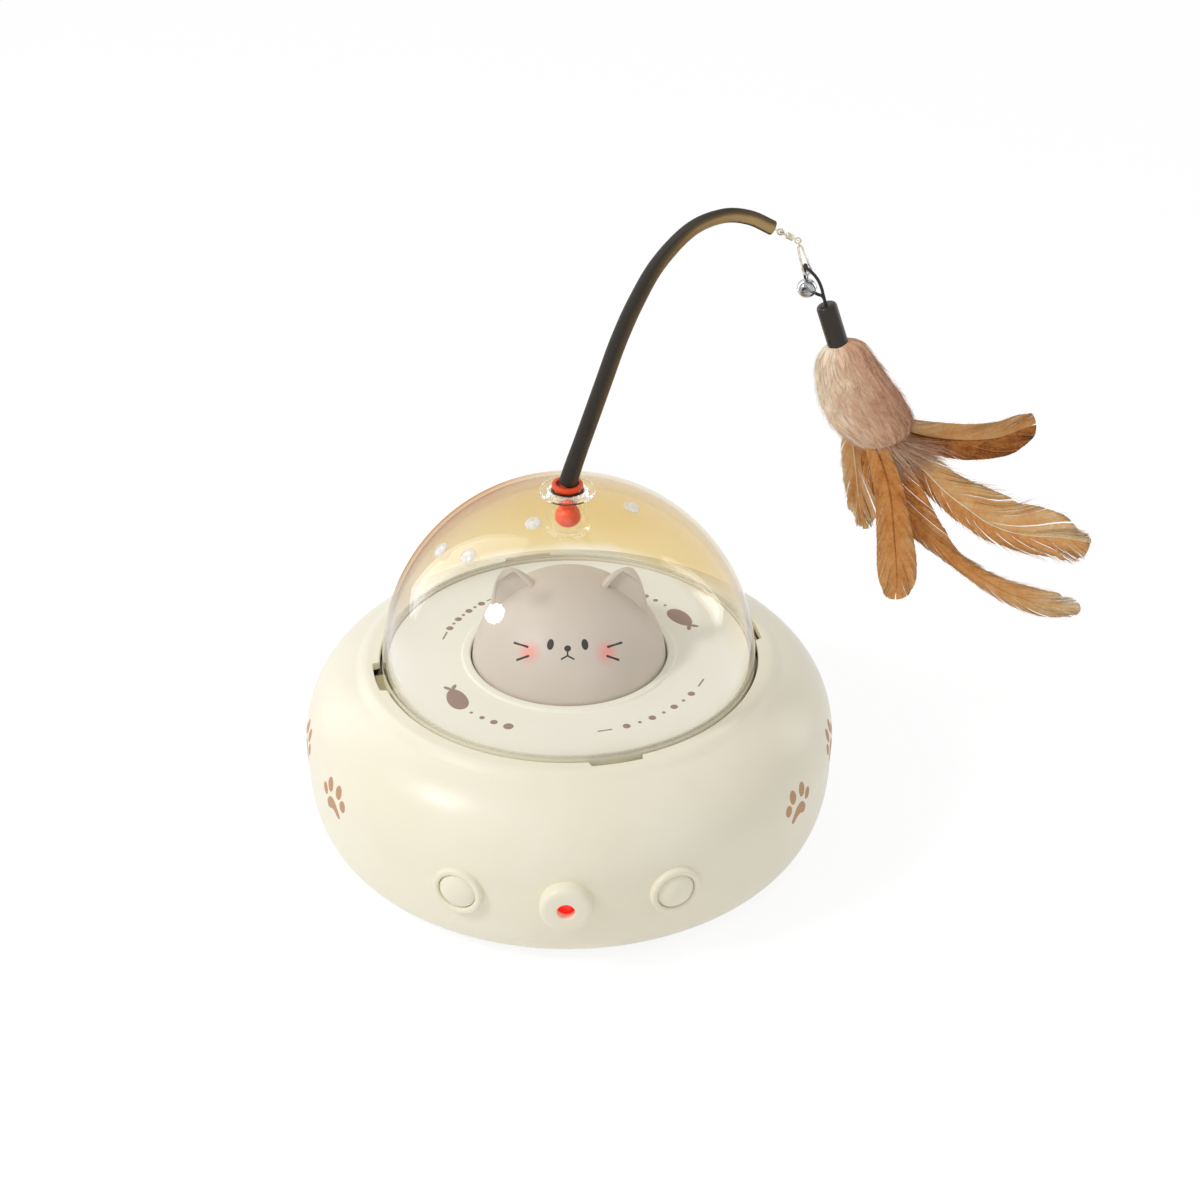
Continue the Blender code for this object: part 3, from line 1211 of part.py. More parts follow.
def button(side, degrees, base, parent):
    """A round button: the fixed bezel ring in the casing and the domed cap that is pressed."""
    frame = outward(degrees, FRONT_HEIGHT)
    face = BASE_RADIUS + GAP
    top = face + BEZEL_RISE
    stem_low = BASE_RADIUS - BEZEL_STEM_LENGTH
    bezel = [
        (BEZEL_BORE, top - BEZEL_ROUNDING), (BEZEL_BORE + BEZEL_ROUNDING, top),
        (BEZEL_RADIUS - BEZEL_ROUNDING, top), (BEZEL_RADIUS, top - BEZEL_ROUNDING), (BEZEL_RADIUS, face),
        (BEZEL_STEM_RADIUS, face), (BEZEL_STEM_RADIUS, stem_low), (BEZEL_BORE, stem_low),
    ]
    keep(turned(f"button_bezel_{side}", bezel, MEDIUM_SIDES, frame), cream(), base)
    flange_top = stem_low - GAP
    flange_low = flange_top - CAP_FLANGE_THICKNESS
    edge = face + CAP_EDGE_RISE
    crown = face + CAP_RISE
    cap = [(CAP_RADIUS * across_share, crown - (crown - edge) * fall)
           for across_share, fall in CAP_CROWN_SHARES]
    cap += [
        (CAP_RADIUS, edge - CAP_EDGE_RISE / 2), (CAP_RADIUS, flange_top), (CAP_FLANGE_RADIUS, flange_top),
        (CAP_FLANGE_RADIUS, flange_low), (CAP_STEM_RADIUS, flange_low),
        (CAP_STEM_RADIUS, flange_low - CAP_STEM_LENGTH), (0.0, flange_low - CAP_STEM_LENGTH),
    ]
    keep(turned(f"button_cap_{side}", cap, MEDIUM_SIDES, frame, False), cream(), parent)


def light_spot(parent):
    """The round boss in the front with the red lens and the laser module behind it."""
    frame = outward(FRONT_ANGLE, FRONT_HEIGHT)
    face = BASE_RADIUS + GAP
    top = BASE_RADIUS + BOSS_RISE
    step = top - BOSS_BORE_DEPTH
    bore = LASER_RADIUS + GAP
    stem_low = BASE_RADIUS - BOSS_STEM_LENGTH
    half_round = BOSS_ROUNDING * math.sqrt(0.5)
    profile = [
        (BOSS_BORE, top), (BOSS_RADIUS - BOSS_ROUNDING, top),
        (BOSS_RADIUS - BOSS_ROUNDING + half_round, top - BOSS_ROUNDING + half_round),
        (BOSS_RADIUS, top - BOSS_ROUNDING), (BOSS_RADIUS, face), (BOSS_STEM_RADIUS, face),
        (BOSS_STEM_RADIUS, stem_low), (bore, stem_low), (bore, step), (BOSS_BORE, step),
    ]
    keep(turned("laser_boss", profile, MEDIUM_SIDES, frame), cream(), parent)
    lens_low = step - LENS_THICKNESS
    keep(round_rod("laser_lens", LASER_RADIUS, lens_low, step, SMALL_SIDES, frame), red_lens(), parent)
    laser_top = lens_low - GAP
    keep(round_rod("laser_module", LASER_RADIUS, laser_top - LASER_LENGTH, laser_top, SMALL_SIDES, frame),
         brass(), parent)


def dome_arc(radius):
    """Points of the dome's profile at a radius, from the socket's hole down to its middle height."""
    start = math.asin((SOCKET_RADIUS + GAP) / radius)
    angles = [start + (math.pi / 2 - start) * i / DOME_STEPS for i in range(DOME_STEPS + 1)]
    return [(radius * math.sin(t), DOME_CENTRE_HEIGHT + radius * math.cos(t)) for t in angles]


def dome(parent):
    """The clear dome with its four lugs and the slots that the turntable's keys drive."""
    inner_radius = DOME_RADIUS - DOME_WALL
    profile = dome_arc(DOME_RADIUS) + [(DOME_RADIUS, DOME_BOTTOM), (inner_radius, DOME_BOTTOM)]
    profile += dome_arc(inner_radius)[::-1]
    cover = turned("dome", profile, LARGE_SIDES)
    lugs = []
    slots = []
    lug_inner = DOME_RADIUS - DOME_WALL / 2
    lug_outer = DOME_RADIUS + LUG_REACH
    width = 2 * lug_outer * math.sin(math.radians(LUG_HALF_ANGLE))
    for i in range(NOTCH_COUNT):
        frame = notch_frame(i, (lug_inner + lug_outer) / 2, LUG_TOP - LUG_HEIGHT / 2)
        lugs.append(("box", (lug_outer - lug_inner, width, LUG_HEIGHT), frame))
        slot_size = (2 * DOME_WALL + OVERRUN, KEY_WIDTH + 2 * GAP, 2 * (KEY_HEIGHT + GAP))
        slots.append(("box", slot_size, notch_frame(i + 0.5, DOME_RADIUS - DOME_WALL / 2, FLANGE_TOP)))
    join(cover, primitives("dome_lugs", lugs))
    cut(cover, primitives("dome_slots", slots))
    keep(cover, clear(), parent)


def wand_socket(parent):
    """The thick clear cup in the top of the dome that the wand is plugged into."""
    floor_low = SOCKET_FLOOR_TOP - SOCKET_FLOOR
    mouth_low = SOCKET_TOP - SOCKET_MOUTH_DEPTH
    flange_low = SOCKET_TOP - SOCKET_FLANGE_THICKNESS
    profile = [
        (0.0, SOCKET_FLOOR_TOP), (SOCKET_BORE, SOCKET_FLOOR_TOP), (SOCKET_BORE, mouth_low),
        (SOCKET_MOUTH_RADIUS, mouth_low), (SOCKET_MOUTH_RADIUS, SOCKET_TOP),
        (SOCKET_RADIUS + SINK, SOCKET_TOP), (SOCKET_FLANGE_RADIUS - SINK, SOCKET_TOP - SINK),
        (SOCKET_FLANGE_RADIUS, SOCKET_TOP - SOCKET_FLANGE_THICKNESS / 2),
        (SOCKET_FLANGE_RADIUS - SINK, flange_low), (SOCKET_RADIUS, flange_low),
        (SOCKET_RADIUS, floor_low + SOCKET_ROUNDING), (SOCKET_RADIUS - SOCKET_ROUNDING, floor_low),
        (0.0, floor_low),
    ]
    keep(turned("wand_socket", profile, MEDIUM_SIDES, closed=False), clear(), parent)


def wand(parent):
    """The plug, its seal, the bent tube and the wire that comes out of the tube's end."""
    low = PLUG_FLANGE_LOW
    top = low + PLUG_FLANGE_THICKNESS
    neck = PLUG_BULGE_RADIUS - SINK
    profile = [
        (0.0, top - PLUG_HOLE_DEPTH), (PLUG_HOLE_RADIUS, top - PLUG_HOLE_DEPTH), (PLUG_HOLE_RADIUS, top),
        (PLUG_FLANGE_RADIUS, top), (PLUG_FLANGE_RADIUS, low), (neck, low),
        (PLUG_BULGE_RADIUS, low - PLUG_BULGE_DEPTH / 3), (PLUG_BULGE_RADIUS, low - PLUG_BULGE_DEPTH),
        (PLUG_WAIST_RADIUS, low - PLUG_WAIST_DEPTH),
    ]
    profile += [(PLUG_BALL_RADIUS * across_share, low - PLUG_BALL_DEPTH - PLUG_BALL_RADIUS * down_share)
                for across_share, down_share in PLUG_BALL_SHARES]
    keep(turned("wand_plug", profile, MEDIUM_SIDES, closed=False), orange(), parent)
    seal = [(SEAL_RADIUS + SEAL_THICKNESS * math.cos(t), SOCKET_TOP - SEAL_THICKNESS - GAP
             + SEAL_THICKNESS * math.sin(t))
            for t in (math.pi / 2 - 2 * math.pi * i / TINY_SIDES for i in range(TINY_SIDES))]
    keep(turned("plug_seal", seal, MEDIUM_SIDES), black(), parent)
    keep(tube("wand_tube", wand_route(), WAND_RADIUS, 3), black(), parent)
    keep(tip_wire(), steel(), parent)


def wand_route():
    """The wand's centre line, which starts a little above the floor of the plug's hole."""
    foot = PLUG_FLANGE_LOW + PLUG_FLANGE_THICKNESS - PLUG_HOLE_DEPTH + WAND_RADIUS * WAND_FOOT_SHARE
    points = [level_point(WAND_REACH * x_share, foot + WAND_RISE * z_share)
              for x_share, z_share in WAND_ROUTE_SHARES]
    return smooth_route(points, WAND_STEPS)


def wand_end():
    """The end of the wand and the way that it points."""
    route = wand_route()
    return route[-1], (route[-1] - route[-2]).normalized()


def wire_eye_centre():
    end, way = wand_end()
    return end + way * (GAP + WIRE_REACH + EYE_RADIUS)


def ring_wire(name, centre, axis, radius=EYE_RADIUS, thickness=WIRE_RADIUS):
    """A closed ring of wire round an axis."""
    section = [(radius + thickness * math.cos(t), thickness * math.sin(t))
               for t in (-2 * math.pi * i / TINY_SIDES for i in range(TINY_SIDES))]
    z_axis = Vector(axis).normalized()
    frame = Matrix.Translation(centre) @ z_axis.to_track_quat("Z", "Y").to_matrix().to_4x4()
    return turned(name, section, WIRE_STEPS, frame)


def tip_wire():
    end, way = wand_end()
    start = end + way * GAP
    length = WIRE_REACH + WIRE_RADIUS
    wire = round_rod("tip_wire", WIRE_RADIUS, 0.0, length, TINY_SIDES, along(start, way))
    return join(wire, ring_wire("tip_wire_eye", wire_eye_centre(), (0, 1, 0)))


def swivel_line():
    """Key points of the swivel along the way from the wire's eye to the snap."""
    way = wand_end()[1]
    first = wire_eye_centre() + way * EYE_RADIUS
    barrel_start = first + way * (EYE_RADIUS + BARREL_NECK - WIRE_RADIUS)
    barrel_end = barrel_start + way * BARREL_LENGTH
    second = barrel_end + way * (EYE_RADIUS + BARREL_NECK + WIRE_RADIUS)
    return way, first, barrel_start, barrel_end, second


def barrel_swivel(parent):
    way, first, barrel_start, _, _ = swivel_line()
    chamfer = BARREL_RADIUS / 3
    profile = [
        (0.0, BARREL_LENGTH - STEM_HOLE_DEPTH), (STEM_HOLE_RADIUS, BARREL_LENGTH - STEM_HOLE_DEPTH),
        (STEM_HOLE_RADIUS, BARREL_LENGTH), (BARREL_RADIUS - chamfer, BARREL_LENGTH),
        (BARREL_RADIUS, BARREL_LENGTH - chamfer), (BARREL_RADIUS, chamfer),
        (BARREL_RADIUS - chamfer, 0.0), (WIRE_RADIUS, 0.0), (WIRE_RADIUS, -BARREL_NECK - WIRE_RADIUS / 2),
        (0.0, -BARREL_NECK - WIRE_RADIUS / 2),
    ]
    barrel = turned("barrel_swivel", profile, SMALL_SIDES, along(barrel_start, way), False)
    join(barrel, ring_wire("barrel_eye", first, across(way)))
    keep(barrel, steel(), parent)


def swivel_eye(parent):
    way, _, _, barrel_end, second = swivel_line()
    low = GAP - STEM_HOLE_DEPTH
    high = BARREL_NECK + WIRE_RADIUS * 1.5
    stem = round_rod("swivel_eye", STEM_RADIUS, low, high, TINY_SIDES, along(barrel_end, way))
    join(stem, ring_wire("swivel_eye_ring", second, (0, 1, 0)))
    keep(stem, steel(), parent)


def snap_line():
    """The snap's way, the centre of its upper eye and the centre of its lower bend."""
    second = swivel_line()[4]
    way = leaning(SNAP_LEAN)
    return way, second + way * EYE_RADIUS, second + way * SNAP_LENGTH


def snap_clasp(parent):
    """The snap: an eye and a long wire loop in the wand's plane that the bell and loop hang in."""
    way, eye, hook = snap_line()
    side = across(way)
    top = eye + way * (EYE_RADIUS + SNAP_TOP_RADIUS)
    points = []
    for i in range(HALF_TURN_STEPS + 1):
        t = math.pi * i / HALF_TURN_STEPS
        points.append(top + (side * math.cos(t) - way * math.sin(t)) * SNAP_TOP_RADIUS)
    for i in range(HALF_TURN_STEPS + 1):
        t = math.pi * i / HALF_TURN_STEPS
        points.append(hook + (way * math.sin(t) - side * math.cos(t)) * SNAP_BEND_RADIUS)
    loop = tube("snap_clasp", points, WIRE_RADIUS, 1, cyclic=True)
    keep(join(loop, ring_wire("snap_eye", eye, side)), steel(), parent)


def bell(parent):
    """The hollow bell on its ring."""
    way = leaning(BELL_LEAN)
    ring_centre = snap_line()[2] + way * SNAP_BEND_RADIUS
    centre = ring_centre + way * (SNAP_BEND_RADIUS + BELL_RADIUS)
    turns = [math.pi * i / BELL_STEPS for i in range(BELL_STEPS + 1)]
    outside = [(BELL_RADIUS * math.sin(t), BELL_RADIUS * math.cos(t)) for t in turns]
    body = turned("bell", outside, SMALL_SIDES, along(centre, -way), False)
    inner = BELL_RADIUS - BELL_WALL
    inside = [(inner * math.sin(t), inner * math.cos(t)) for t in turns]
    join(body, ring_wire("bell_ring", ring_centre, across(way), SNAP_BEND_RADIUS))
    cut(body, turned("bell_inside", inside, SMALL_SIDES, along(centre, -way), False))
    slit = (2 * (BELL_RADIUS + OVERRUN), BELL_SLIT, BELL_RADIUS)
    slit_frame = along(centre + way * BELL_RADIUS * BELL_SLIT_SHARE, -way)
    cut(body, primitives("bell_slit", [("box", slit, slit_frame)]))
    keep(body, steel(), parent)


def loop_crown():
    """Where the elastic loop hangs in the snap."""
    seat_x, seat_z = LOOP_SEAT_SHARES
    return snap_line()[2] + level_point(seat_x * SNAP_BEND_RADIUS, seat_z * SNAP_BEND_RADIUS)


def ferrule_top():
    return loop_crown() + level_point(LOOP_OFFSET, -LOOP_DROP)


def ferrule_end():
    return ferrule_top() + leaning(FERRULE_LEAN) * FERRULE_LENGTH


def elastic_loop(parent):
    start = ferrule_top() - leaning(FERRULE_LEAN) * (GAP + LOOP_RADIUS / 2)
    ends = [start + Vector((0.0, side * LOOP_END_SPREAD, 0.0)) for side in (-1, 1)]
    points = [loop_crown() + Vector(shares) * LOOP_DROP for shares in LOOP_ROUTE_SHARES]
    route = smooth_route([ends[0]] + points + [ends[1]], LOOP_STEPS)
    keep(tube("elastic_loop", route, LOOP_RADIUS, 2), black(), parent)


def ferrule(parent):
    length = FERRULE_LENGTH
    half = FERRULE_ROUNDING * math.sqrt(0.5)
    shoulder = FERRULE_RADIUS - FERRULE_ROUNDING
    profile = [
        (0.0, length), (FERRULE_RADIUS, length), (FERRULE_RADIUS, FERRULE_ROUNDING),
        (shoulder + half, FERRULE_ROUNDING - half), (shoulder, 0.0), (0.0, 0.0),
    ]
    sleeve = turned("ferrule", profile, SMALL_SIDES, along(ferrule_top(), leaning(FERRULE_LEAN)), False)
    keep(sleeve, black(), parent)


def feather_sections(name, grow):
    """The six-sided sections of a feather: thick at the shaft, thin at the vane's edges."""
    stations = FEATHER_SHARES[name]
    level = FEATHER_LEVELS[name] * FEATHER_SPACING
    root = ferrule_end()
    centres = []
    for x_share, z_share, _, _, bend_share in stations:
        place = Vector((FEATHER_REACH * x_share, level + FEATHER_BEND * bend_share, -FEATHER_DROP * z_share))
        centres.append(root + place)
    sections = []
    last = len(stations) - 1
    for i, (_, _, upper_share, lower_share, _) in enumerate(stations):
        way = (centres[min(i + 1, last)] - centres[max(i - 1, 0)]).normalized()
        side = Vector((-way.z, 0.0, way.x)).normalized()
        turn = Matrix.Rotation(math.radians(FEATHER_TWISTS[name]) * (i / last) ** 2, 3, way)
        side = turn @ side
        face = side.cross(way).normalized()
        middle = centres[i]
        if i == 0:
            middle = middle - way * grow
        edge = FEATHER_EDGE / 2 + grow
        thick = FEATHER_THICKNESS / 2 + grow
        up = side * (VANE_WIDTH * upper_share + grow)
        down = -side * (VANE_WIDTH * lower_share + grow)
        sections.append([middle + down - face * edge, middle - face * thick, middle + up - face * edge,
                         middle + up + face * edge, middle + face * thick, middle + down + face * edge])
    return sections


def fluff_and_feathers(parent):
    """The tuft under the ferrule, with slots for the feathers that come out of it."""
    way = leaning(FERRULE_LEAN)
    side = across(way)
    start = ferrule_end() + way * GAP
    sections = []
    for x_share, z_share, width_share, depth_share in FLUFF_SHARES:
        middle = start + level_point(FLUFF_DROP * x_share, -FLUFF_DROP * z_share)
        ring = []
        for i in range(FLUFF_SIDES):
            t = 2 * math.pi * i / FLUFF_SIDES
            ring.append(middle + side * (FLUFF_HALF_WIDTH * width_share * math.cos(t))
                        + Vector((0.0, FLUFF_HALF_DEPTH * depth_share * math.sin(t), 0.0)))
        sections.append(ring)
    tuft = loft("fluff", sections)
    for name in FEATHER_SHARES:
        cut(tuft, loft(name + "_slot", feather_sections(name, GAP)))
        keep(loft(name, feather_sections(name, 0.0)), feather_colour(), parent)
    keep(tuft, fluff_colour(), parent)


def build():
    """All pieces, under one empty for each joint's axis."""
    start_scene()
    base = empty_at("base", (0.0, 0.0, 0.0))
    base_shell(base)
    bottom_cover(base)
    feet_and_cover_screws(base)
    chassis(base)
    cat_head(base)
    gear_motor(base)
    battery(base)
    control_board(base)
    light_spot(base)
    for side, degrees in button_angles().items():
        axis = empty_at(f"button_{side}_axis", outward(degrees, FRONT_HEIGHT) @ Vector((0, 0, BASE_RADIUS)),
                        base)
        button(side, degrees, base, axis)
        switch_module(f"switch_module_{side}", degrees, base)

    pinion(empty_at("pinion_axis", motor_place(), base))
    turntable_axis = empty_at("turntable_axis", (0.0, 0.0, DISC_TOP), base)
    turntable(turntable_axis)
    ring_gear(turntable_axis)
    dome_axis = empty_at("dome_axis", (0.0, 0.0, DOME_CENTRE_HEIGHT), turntable_axis)
    dome(dome_axis)
    wand_socket(dome_axis)
    wand_axis = empty_at("wand_axis", (0.0, 0.0, SOCKET_TOP), dome_axis)
    wand(wand_axis)
    leader_axis = empty_at("leader_axis", wire_eye_centre(), wand_axis)
    barrel_swivel(leader_axis)
    swivel_axis = empty_at("swivel_axis", swivel_line()[3], leader_axis)
    swivel_eye(swivel_axis)
    snap_axis = empty_at("snap_axis", swivel_line()[4], swivel_axis)
    snap_clasp(snap_axis)
    bell(empty_at("bell_axis", snap_line()[2], snap_axis))
    lure_axis = empty_at("lure_axis", loop_crown(), snap_axis)
    elastic_loop(lure_axis)
    ferrule(lure_axis)
    fluff_and_feathers(lure_axis)


build()
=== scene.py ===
"""Looks of a rotating feather cat toy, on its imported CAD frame.

Metres, +Z up, the front with the buttons and the light spot at -Y. Each new piece is a surface
worked out with numpy: a profile turned round an axis, a section carried along a path, or a grid of
two parameters.
"""
import math

import bmesh
import bpy
import numpy as np
from mathutils import Matrix, Vector
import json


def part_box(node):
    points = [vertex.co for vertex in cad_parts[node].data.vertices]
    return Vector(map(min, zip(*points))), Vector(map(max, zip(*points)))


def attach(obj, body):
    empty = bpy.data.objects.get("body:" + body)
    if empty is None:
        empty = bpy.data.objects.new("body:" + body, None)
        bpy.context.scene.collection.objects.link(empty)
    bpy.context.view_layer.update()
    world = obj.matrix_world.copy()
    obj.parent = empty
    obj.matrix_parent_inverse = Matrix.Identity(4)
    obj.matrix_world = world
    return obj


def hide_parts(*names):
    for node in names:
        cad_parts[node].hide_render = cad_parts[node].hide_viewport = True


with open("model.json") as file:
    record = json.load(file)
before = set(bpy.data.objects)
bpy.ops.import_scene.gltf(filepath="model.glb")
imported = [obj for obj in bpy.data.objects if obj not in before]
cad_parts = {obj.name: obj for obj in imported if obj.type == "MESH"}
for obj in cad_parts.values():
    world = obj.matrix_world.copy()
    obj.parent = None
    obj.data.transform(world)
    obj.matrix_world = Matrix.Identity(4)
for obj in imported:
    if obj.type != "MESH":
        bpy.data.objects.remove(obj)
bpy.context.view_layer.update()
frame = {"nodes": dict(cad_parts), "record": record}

# The camera, fitted to the photograph
CAMERA_PLACE = (0.01161, -0.64029, 0.48601)
CAMERA_TILT = 58.4
CAMERA_LENS = 61.04

# Clearances, as in the part's source
GAP = 0.0003
PRINT_THICKNESS = 0.00016

# Casing
BASE_RADIUS = 0.100
BASE_WALL = 0.0025
BASE_UNDERSIDE = 0.001
WIDEST_HEIGHT = 0.0377
RIM_HEIGHT = 0.0698
FLAT_RADIUS = 0.0778
CROWN_RADIUS = 0.064
UPPER_POWER = 2.1
LOWER_POWER = 3.3
RECESS_RADIUS = 0.0708
CHANNEL_RADIUS = 0.0745
FLOOR_TOP = 0.0525
FLOOR_INNER_RADIUS = 0.058
COVER_TOP = 0.0035
LUG_ANGLE = 284.0
NOTCH_DEPTH = 0.0026
NOTCH_HALF_ANGLE = 7.5
COLUMN_CIRCLE = 0.0705
BOSS_CIRCLE = 0.061

# Front; places along the buttons and the boss are reaches from the casing's axis
FRONT_ANGLE = 270.0
FRONT_HEIGHT = 0.0315
BUTTON_SPREAD = 22.0
BEZEL_RADIUS = 0.0093
BEZEL_STEM_RADIUS = 0.0082
CAP_RADIUS = 0.0067
CAP_FLANGE_RADIUS = 0.0079
BOSS_RADIUS = 0.00925
BOSS_STEM_RADIUS = 0.0077
BOSS_BORE = 0.0031
LENS_RADIUS = 0.0030
LEFT_PAW = (-57.9, 0.0410)
RIGHT_PAW = (56.4, 0.0405)
TRAIL_HEIGHTS = (0.0425, 0.0385)

# Turntable and head
DISC_RADIUS = 0.0677
DISC_TOP = 0.0695
DISC_HOLE_RADIUS = 0.0369
FLANGE_RADIUS = 0.0723
DOT_SIZES = (0.00065, 0.0010, 0.00135, 0.00185)
HEAD_RADIUS = 0.0365
HEAD_CENTRE = (0.0, 0.0, 0.0652)
HEAD_BOTTOM = 0.0621
HEAD_WALL = 0.0022
CHEEK = (28.0, 35.0)
EYE = (13.2, 42.0)
NOSE_LATITUDE = 40.3
MOUTH_LATITUDE = 36.2

# Dome, socket and plug
DOME_RADIUS = 0.0699
DOME_CENTRE = (0.0, 0.0, 0.0671)
DOME_WALL = 0.0016
DOME_BOTTOM = 0.0603
LUG_SIZE = (0.0039, 0.0140, 0.0048)
LUG_CIRCLE = 0.07105
LUG_HEIGHT = 0.064
PIP_PLACES = [(-12.0, -16.4, 134.0), (-45.6, -9.6, 119.2), (-34.9, -21.7, 123.7), (23.1, -3.1, 133.0)]
# Painted colours of the dome's wall: yellow for warm surroundings seen through its crown and its rear half,
# and orange for the refraction along its left edge
CROWN_PAINTED_SURROUNDINGS = (0.975, 0.945, 0.87, 1.0)
REAR_PAINTED_SURROUNDINGS = (0.91, 0.81, 0.57, 1.0)
EDGE_PAINTED_REFRACTION = (0.68, 0.34, 0.04, 1.0)
SOCKET_RADIUS = 0.0078
SOCKET_TOP = 0.1391
PLUG_LOW = SOCKET_TOP + GAP

# Wand: its route in the X-Z plane from the plug outwards, as shares of its reach and rise
WAND_RADIUS = 0.0030
WAND_TAPER = [(0.0, 1.12), (0.12, 1.02), (0.5, 0.98), (0.72, 0.88), (0.85, 0.8), (1.0, 0.84)]
WAND_REACH = 0.0694
WAND_RISE = 0.0962
WAND_FOOT = PLUG_LOW + 0.0002 + WAND_RADIUS * 0.386
WAND_ROUTE = [
    (0.0, 0.0), (0.04, 0.095), (0.115, 0.26), (0.187, 0.42), (0.26, 0.58), (0.345, 0.73),
    (0.45, 0.872), (0.6, 0.995), (0.75, 1.045), (0.88, 1.04), (1.0, 1.0),
]

# Swivel, snap, bell and loop
WIRE_RADIUS = 0.0003
EYE_RADIUS = 0.0010
STEM_LENGTH = 0.0012
SNAP_LENGTH = 0.0113
SNAP_LEAN = 19.0
SNAP_TOP_RADIUS = 0.0007
SNAP_BEND_RADIUS = 0.0014
BELL_RADIUS = 0.0035
BELL_LEAN = 1.7
LOOP_RADIUS = 0.00055
LOOP_DROP = 0.0137
LOOP_ROUTE = [
    (0.5, -0.07, -0.87), (0.45, -0.1, -0.7), (0.39, -0.12, -0.5), (0.28, -0.13, -0.28),
    (0.13, -0.14, -0.1), (0.02, -0.1, -0.02), (0.0, 0.0, 0.02), (-0.02, 0.1, -0.02),
    (0.0, 0.21, -0.17), (0.03, 0.32, -0.41), (0.08, 0.37, -0.61), (0.18, 0.33, -0.77),
    (0.34, 0.22, -0.83), (0.47, 0.1, -0.85),
]
FERRULE_LEAN = 19.1
FERRULE_LENGTH = 0.0162
FERRULE_RADIUS = 0.0036

# Fluff: across and down from the ferrule's end, half width and half depth
FLUFF_DROP = 0.040
FLUFF_HALF_WIDTH = 0.0140
FLUFF_HALF_DEPTH = 0.0090
FLUFF_SHARES = [
    (0.0, 0.0, 0.24, 0.33), (0.03, 0.08, 0.6, 0.66), (0.08, 0.24, 0.79, 0.88),
    (0.17, 0.44, 0.93, 1.0), (0.29, 0.65, 1.0, 0.95), (0.42, 0.84, 0.89, 0.78), (0.5, 0.98, 0.57, 0.5),
]
# Its loose strands: count, range along the tuft, range of depth, reach, half width and most flare
FLUFF_STRANDS = [
    (1300, 0.0, 0.84, 0.97, 1.03, 0.16, 0.00008, 0.10),
    (1100, 0.5, 0.95, 0.5, 1.02, 0.36, 0.00009, 0.25),
    (1700, 0.78, 1.0, 0.1, 1.0, 0.5, 0.00009, 0.2),
]

# Feathers: level and twist, then across, down, half width above the shaft and below it, and bend to +Y
FEATHER_REACH = 0.0940
FEATHER_DROP = 0.1060
FEATHER_BEND = 0.0150
FEATHER_SPACING = 0.0016
VANE_WIDTH = 0.0100
SHAFT_RADIUS = 0.00055
SHAFT_ROWS = 300
LOCK_BARBS = 26
LOCK_STEPS = 14
LOCK_THICKNESS = 0.00007
HAIR_STEPS = 12
HAIR_HALF_WIDTH = 0.00007
HAIR_THICKNESS = 0.00005
HAIR_LIFT = 0.00009
FEATHERS = {
    "feather_top": (1, 16.0, [
        (0.072, 0.147, 0.08, 0.08, 0.0), (0.133, 0.227, 0.12, 0.12, 0.0), (0.233, 0.298, 0.45, 0.45, 0.0),
        (0.355, 0.343, 0.68, 0.58, 0.07), (0.51, 0.367, 0.78, 0.78, 0.2), (0.638, 0.372, 0.86, 0.84, 0.4),
        (0.715, 0.355, 0.86, 0.8, 0.53), (0.762, 0.342, 0.7, 0.6, 0.6),
    ]),
    "feather_wide": (0, -16.0, [
        (0.06, 0.15, 0.08, 0.08, 0.0), (0.16, 0.28, 0.12, 0.12, 0.0), (0.23, 0.355, 0.4, 0.35, 0.0),
        (0.32, 0.425, 0.6, 0.45, 0.0), (0.436, 0.525, 0.85, 0.55, -0.13),
        (0.521, 0.579, 1.08, 0.6, -0.27), (0.606, 0.628, 1.25, 0.6, -0.4), (0.69, 0.652, 1.22, 0.62, -0.53),
        (0.774, 0.656, 1.2, 0.74, -0.67), (0.867, 0.65, 0.9, 0.85, -0.8), (0.94, 0.657, 0.35, 0.8, -0.87),
    ]),
    "feather_long": (-1, 26.0, [
        (0.048, 0.153, 0.08, 0.08, 0.0), (0.118, 0.302, 0.12, 0.12, 0.0), (0.187, 0.412, 0.8, 0.8, 0.0),
        (0.265, 0.551, 0.95, 0.66, -0.07), (0.381, 0.68, 0.7, 0.46, -0.2), (0.513, 0.778, 0.34, 0.3, -0.4),
        (0.664, 0.859, 0.6, 0.46, -0.6), (0.794, 0.896, 0.95, 0.66, -0.8), (0.877, 0.904, 1.0, 0.7, -0.93),
        (0.92, 0.903, 0.8, 0.6, -1.0),
    ]),
    "feather_drooping": (-2, -12.0, [
        (0.035, 0.155, 0.08, 0.08, 0.0), (0.095, 0.255, 0.12, 0.12, 0.0), (0.163, 0.359, 0.38, 0.38, -0.07),
        (0.219, 0.498, 0.5, 0.55, -0.2), (0.244, 0.641, 0.66, 0.64, -0.4), (0.258, 0.742, 0.74, 0.74, -0.6),
        (0.264, 0.81, 0.72, 0.68, -0.73), (0.262, 0.843, 0.56, 0.52, -0.8),
    ]),
    "feather_short": (2, 12.0, [
        (0.035, 0.195, 0.08, 0.08, 0.0), (0.065, 0.265, 0.12, 0.12, 0.0), (0.085, 0.376, 0.7, 0.45, 0.0),
        (0.108, 0.496, 0.95, 0.5, 0.13), (0.131, 0.618, 0.9, 0.44, 0.27), (0.15, 0.71, 0.4, 0.2, 0.4),
    ]),
}

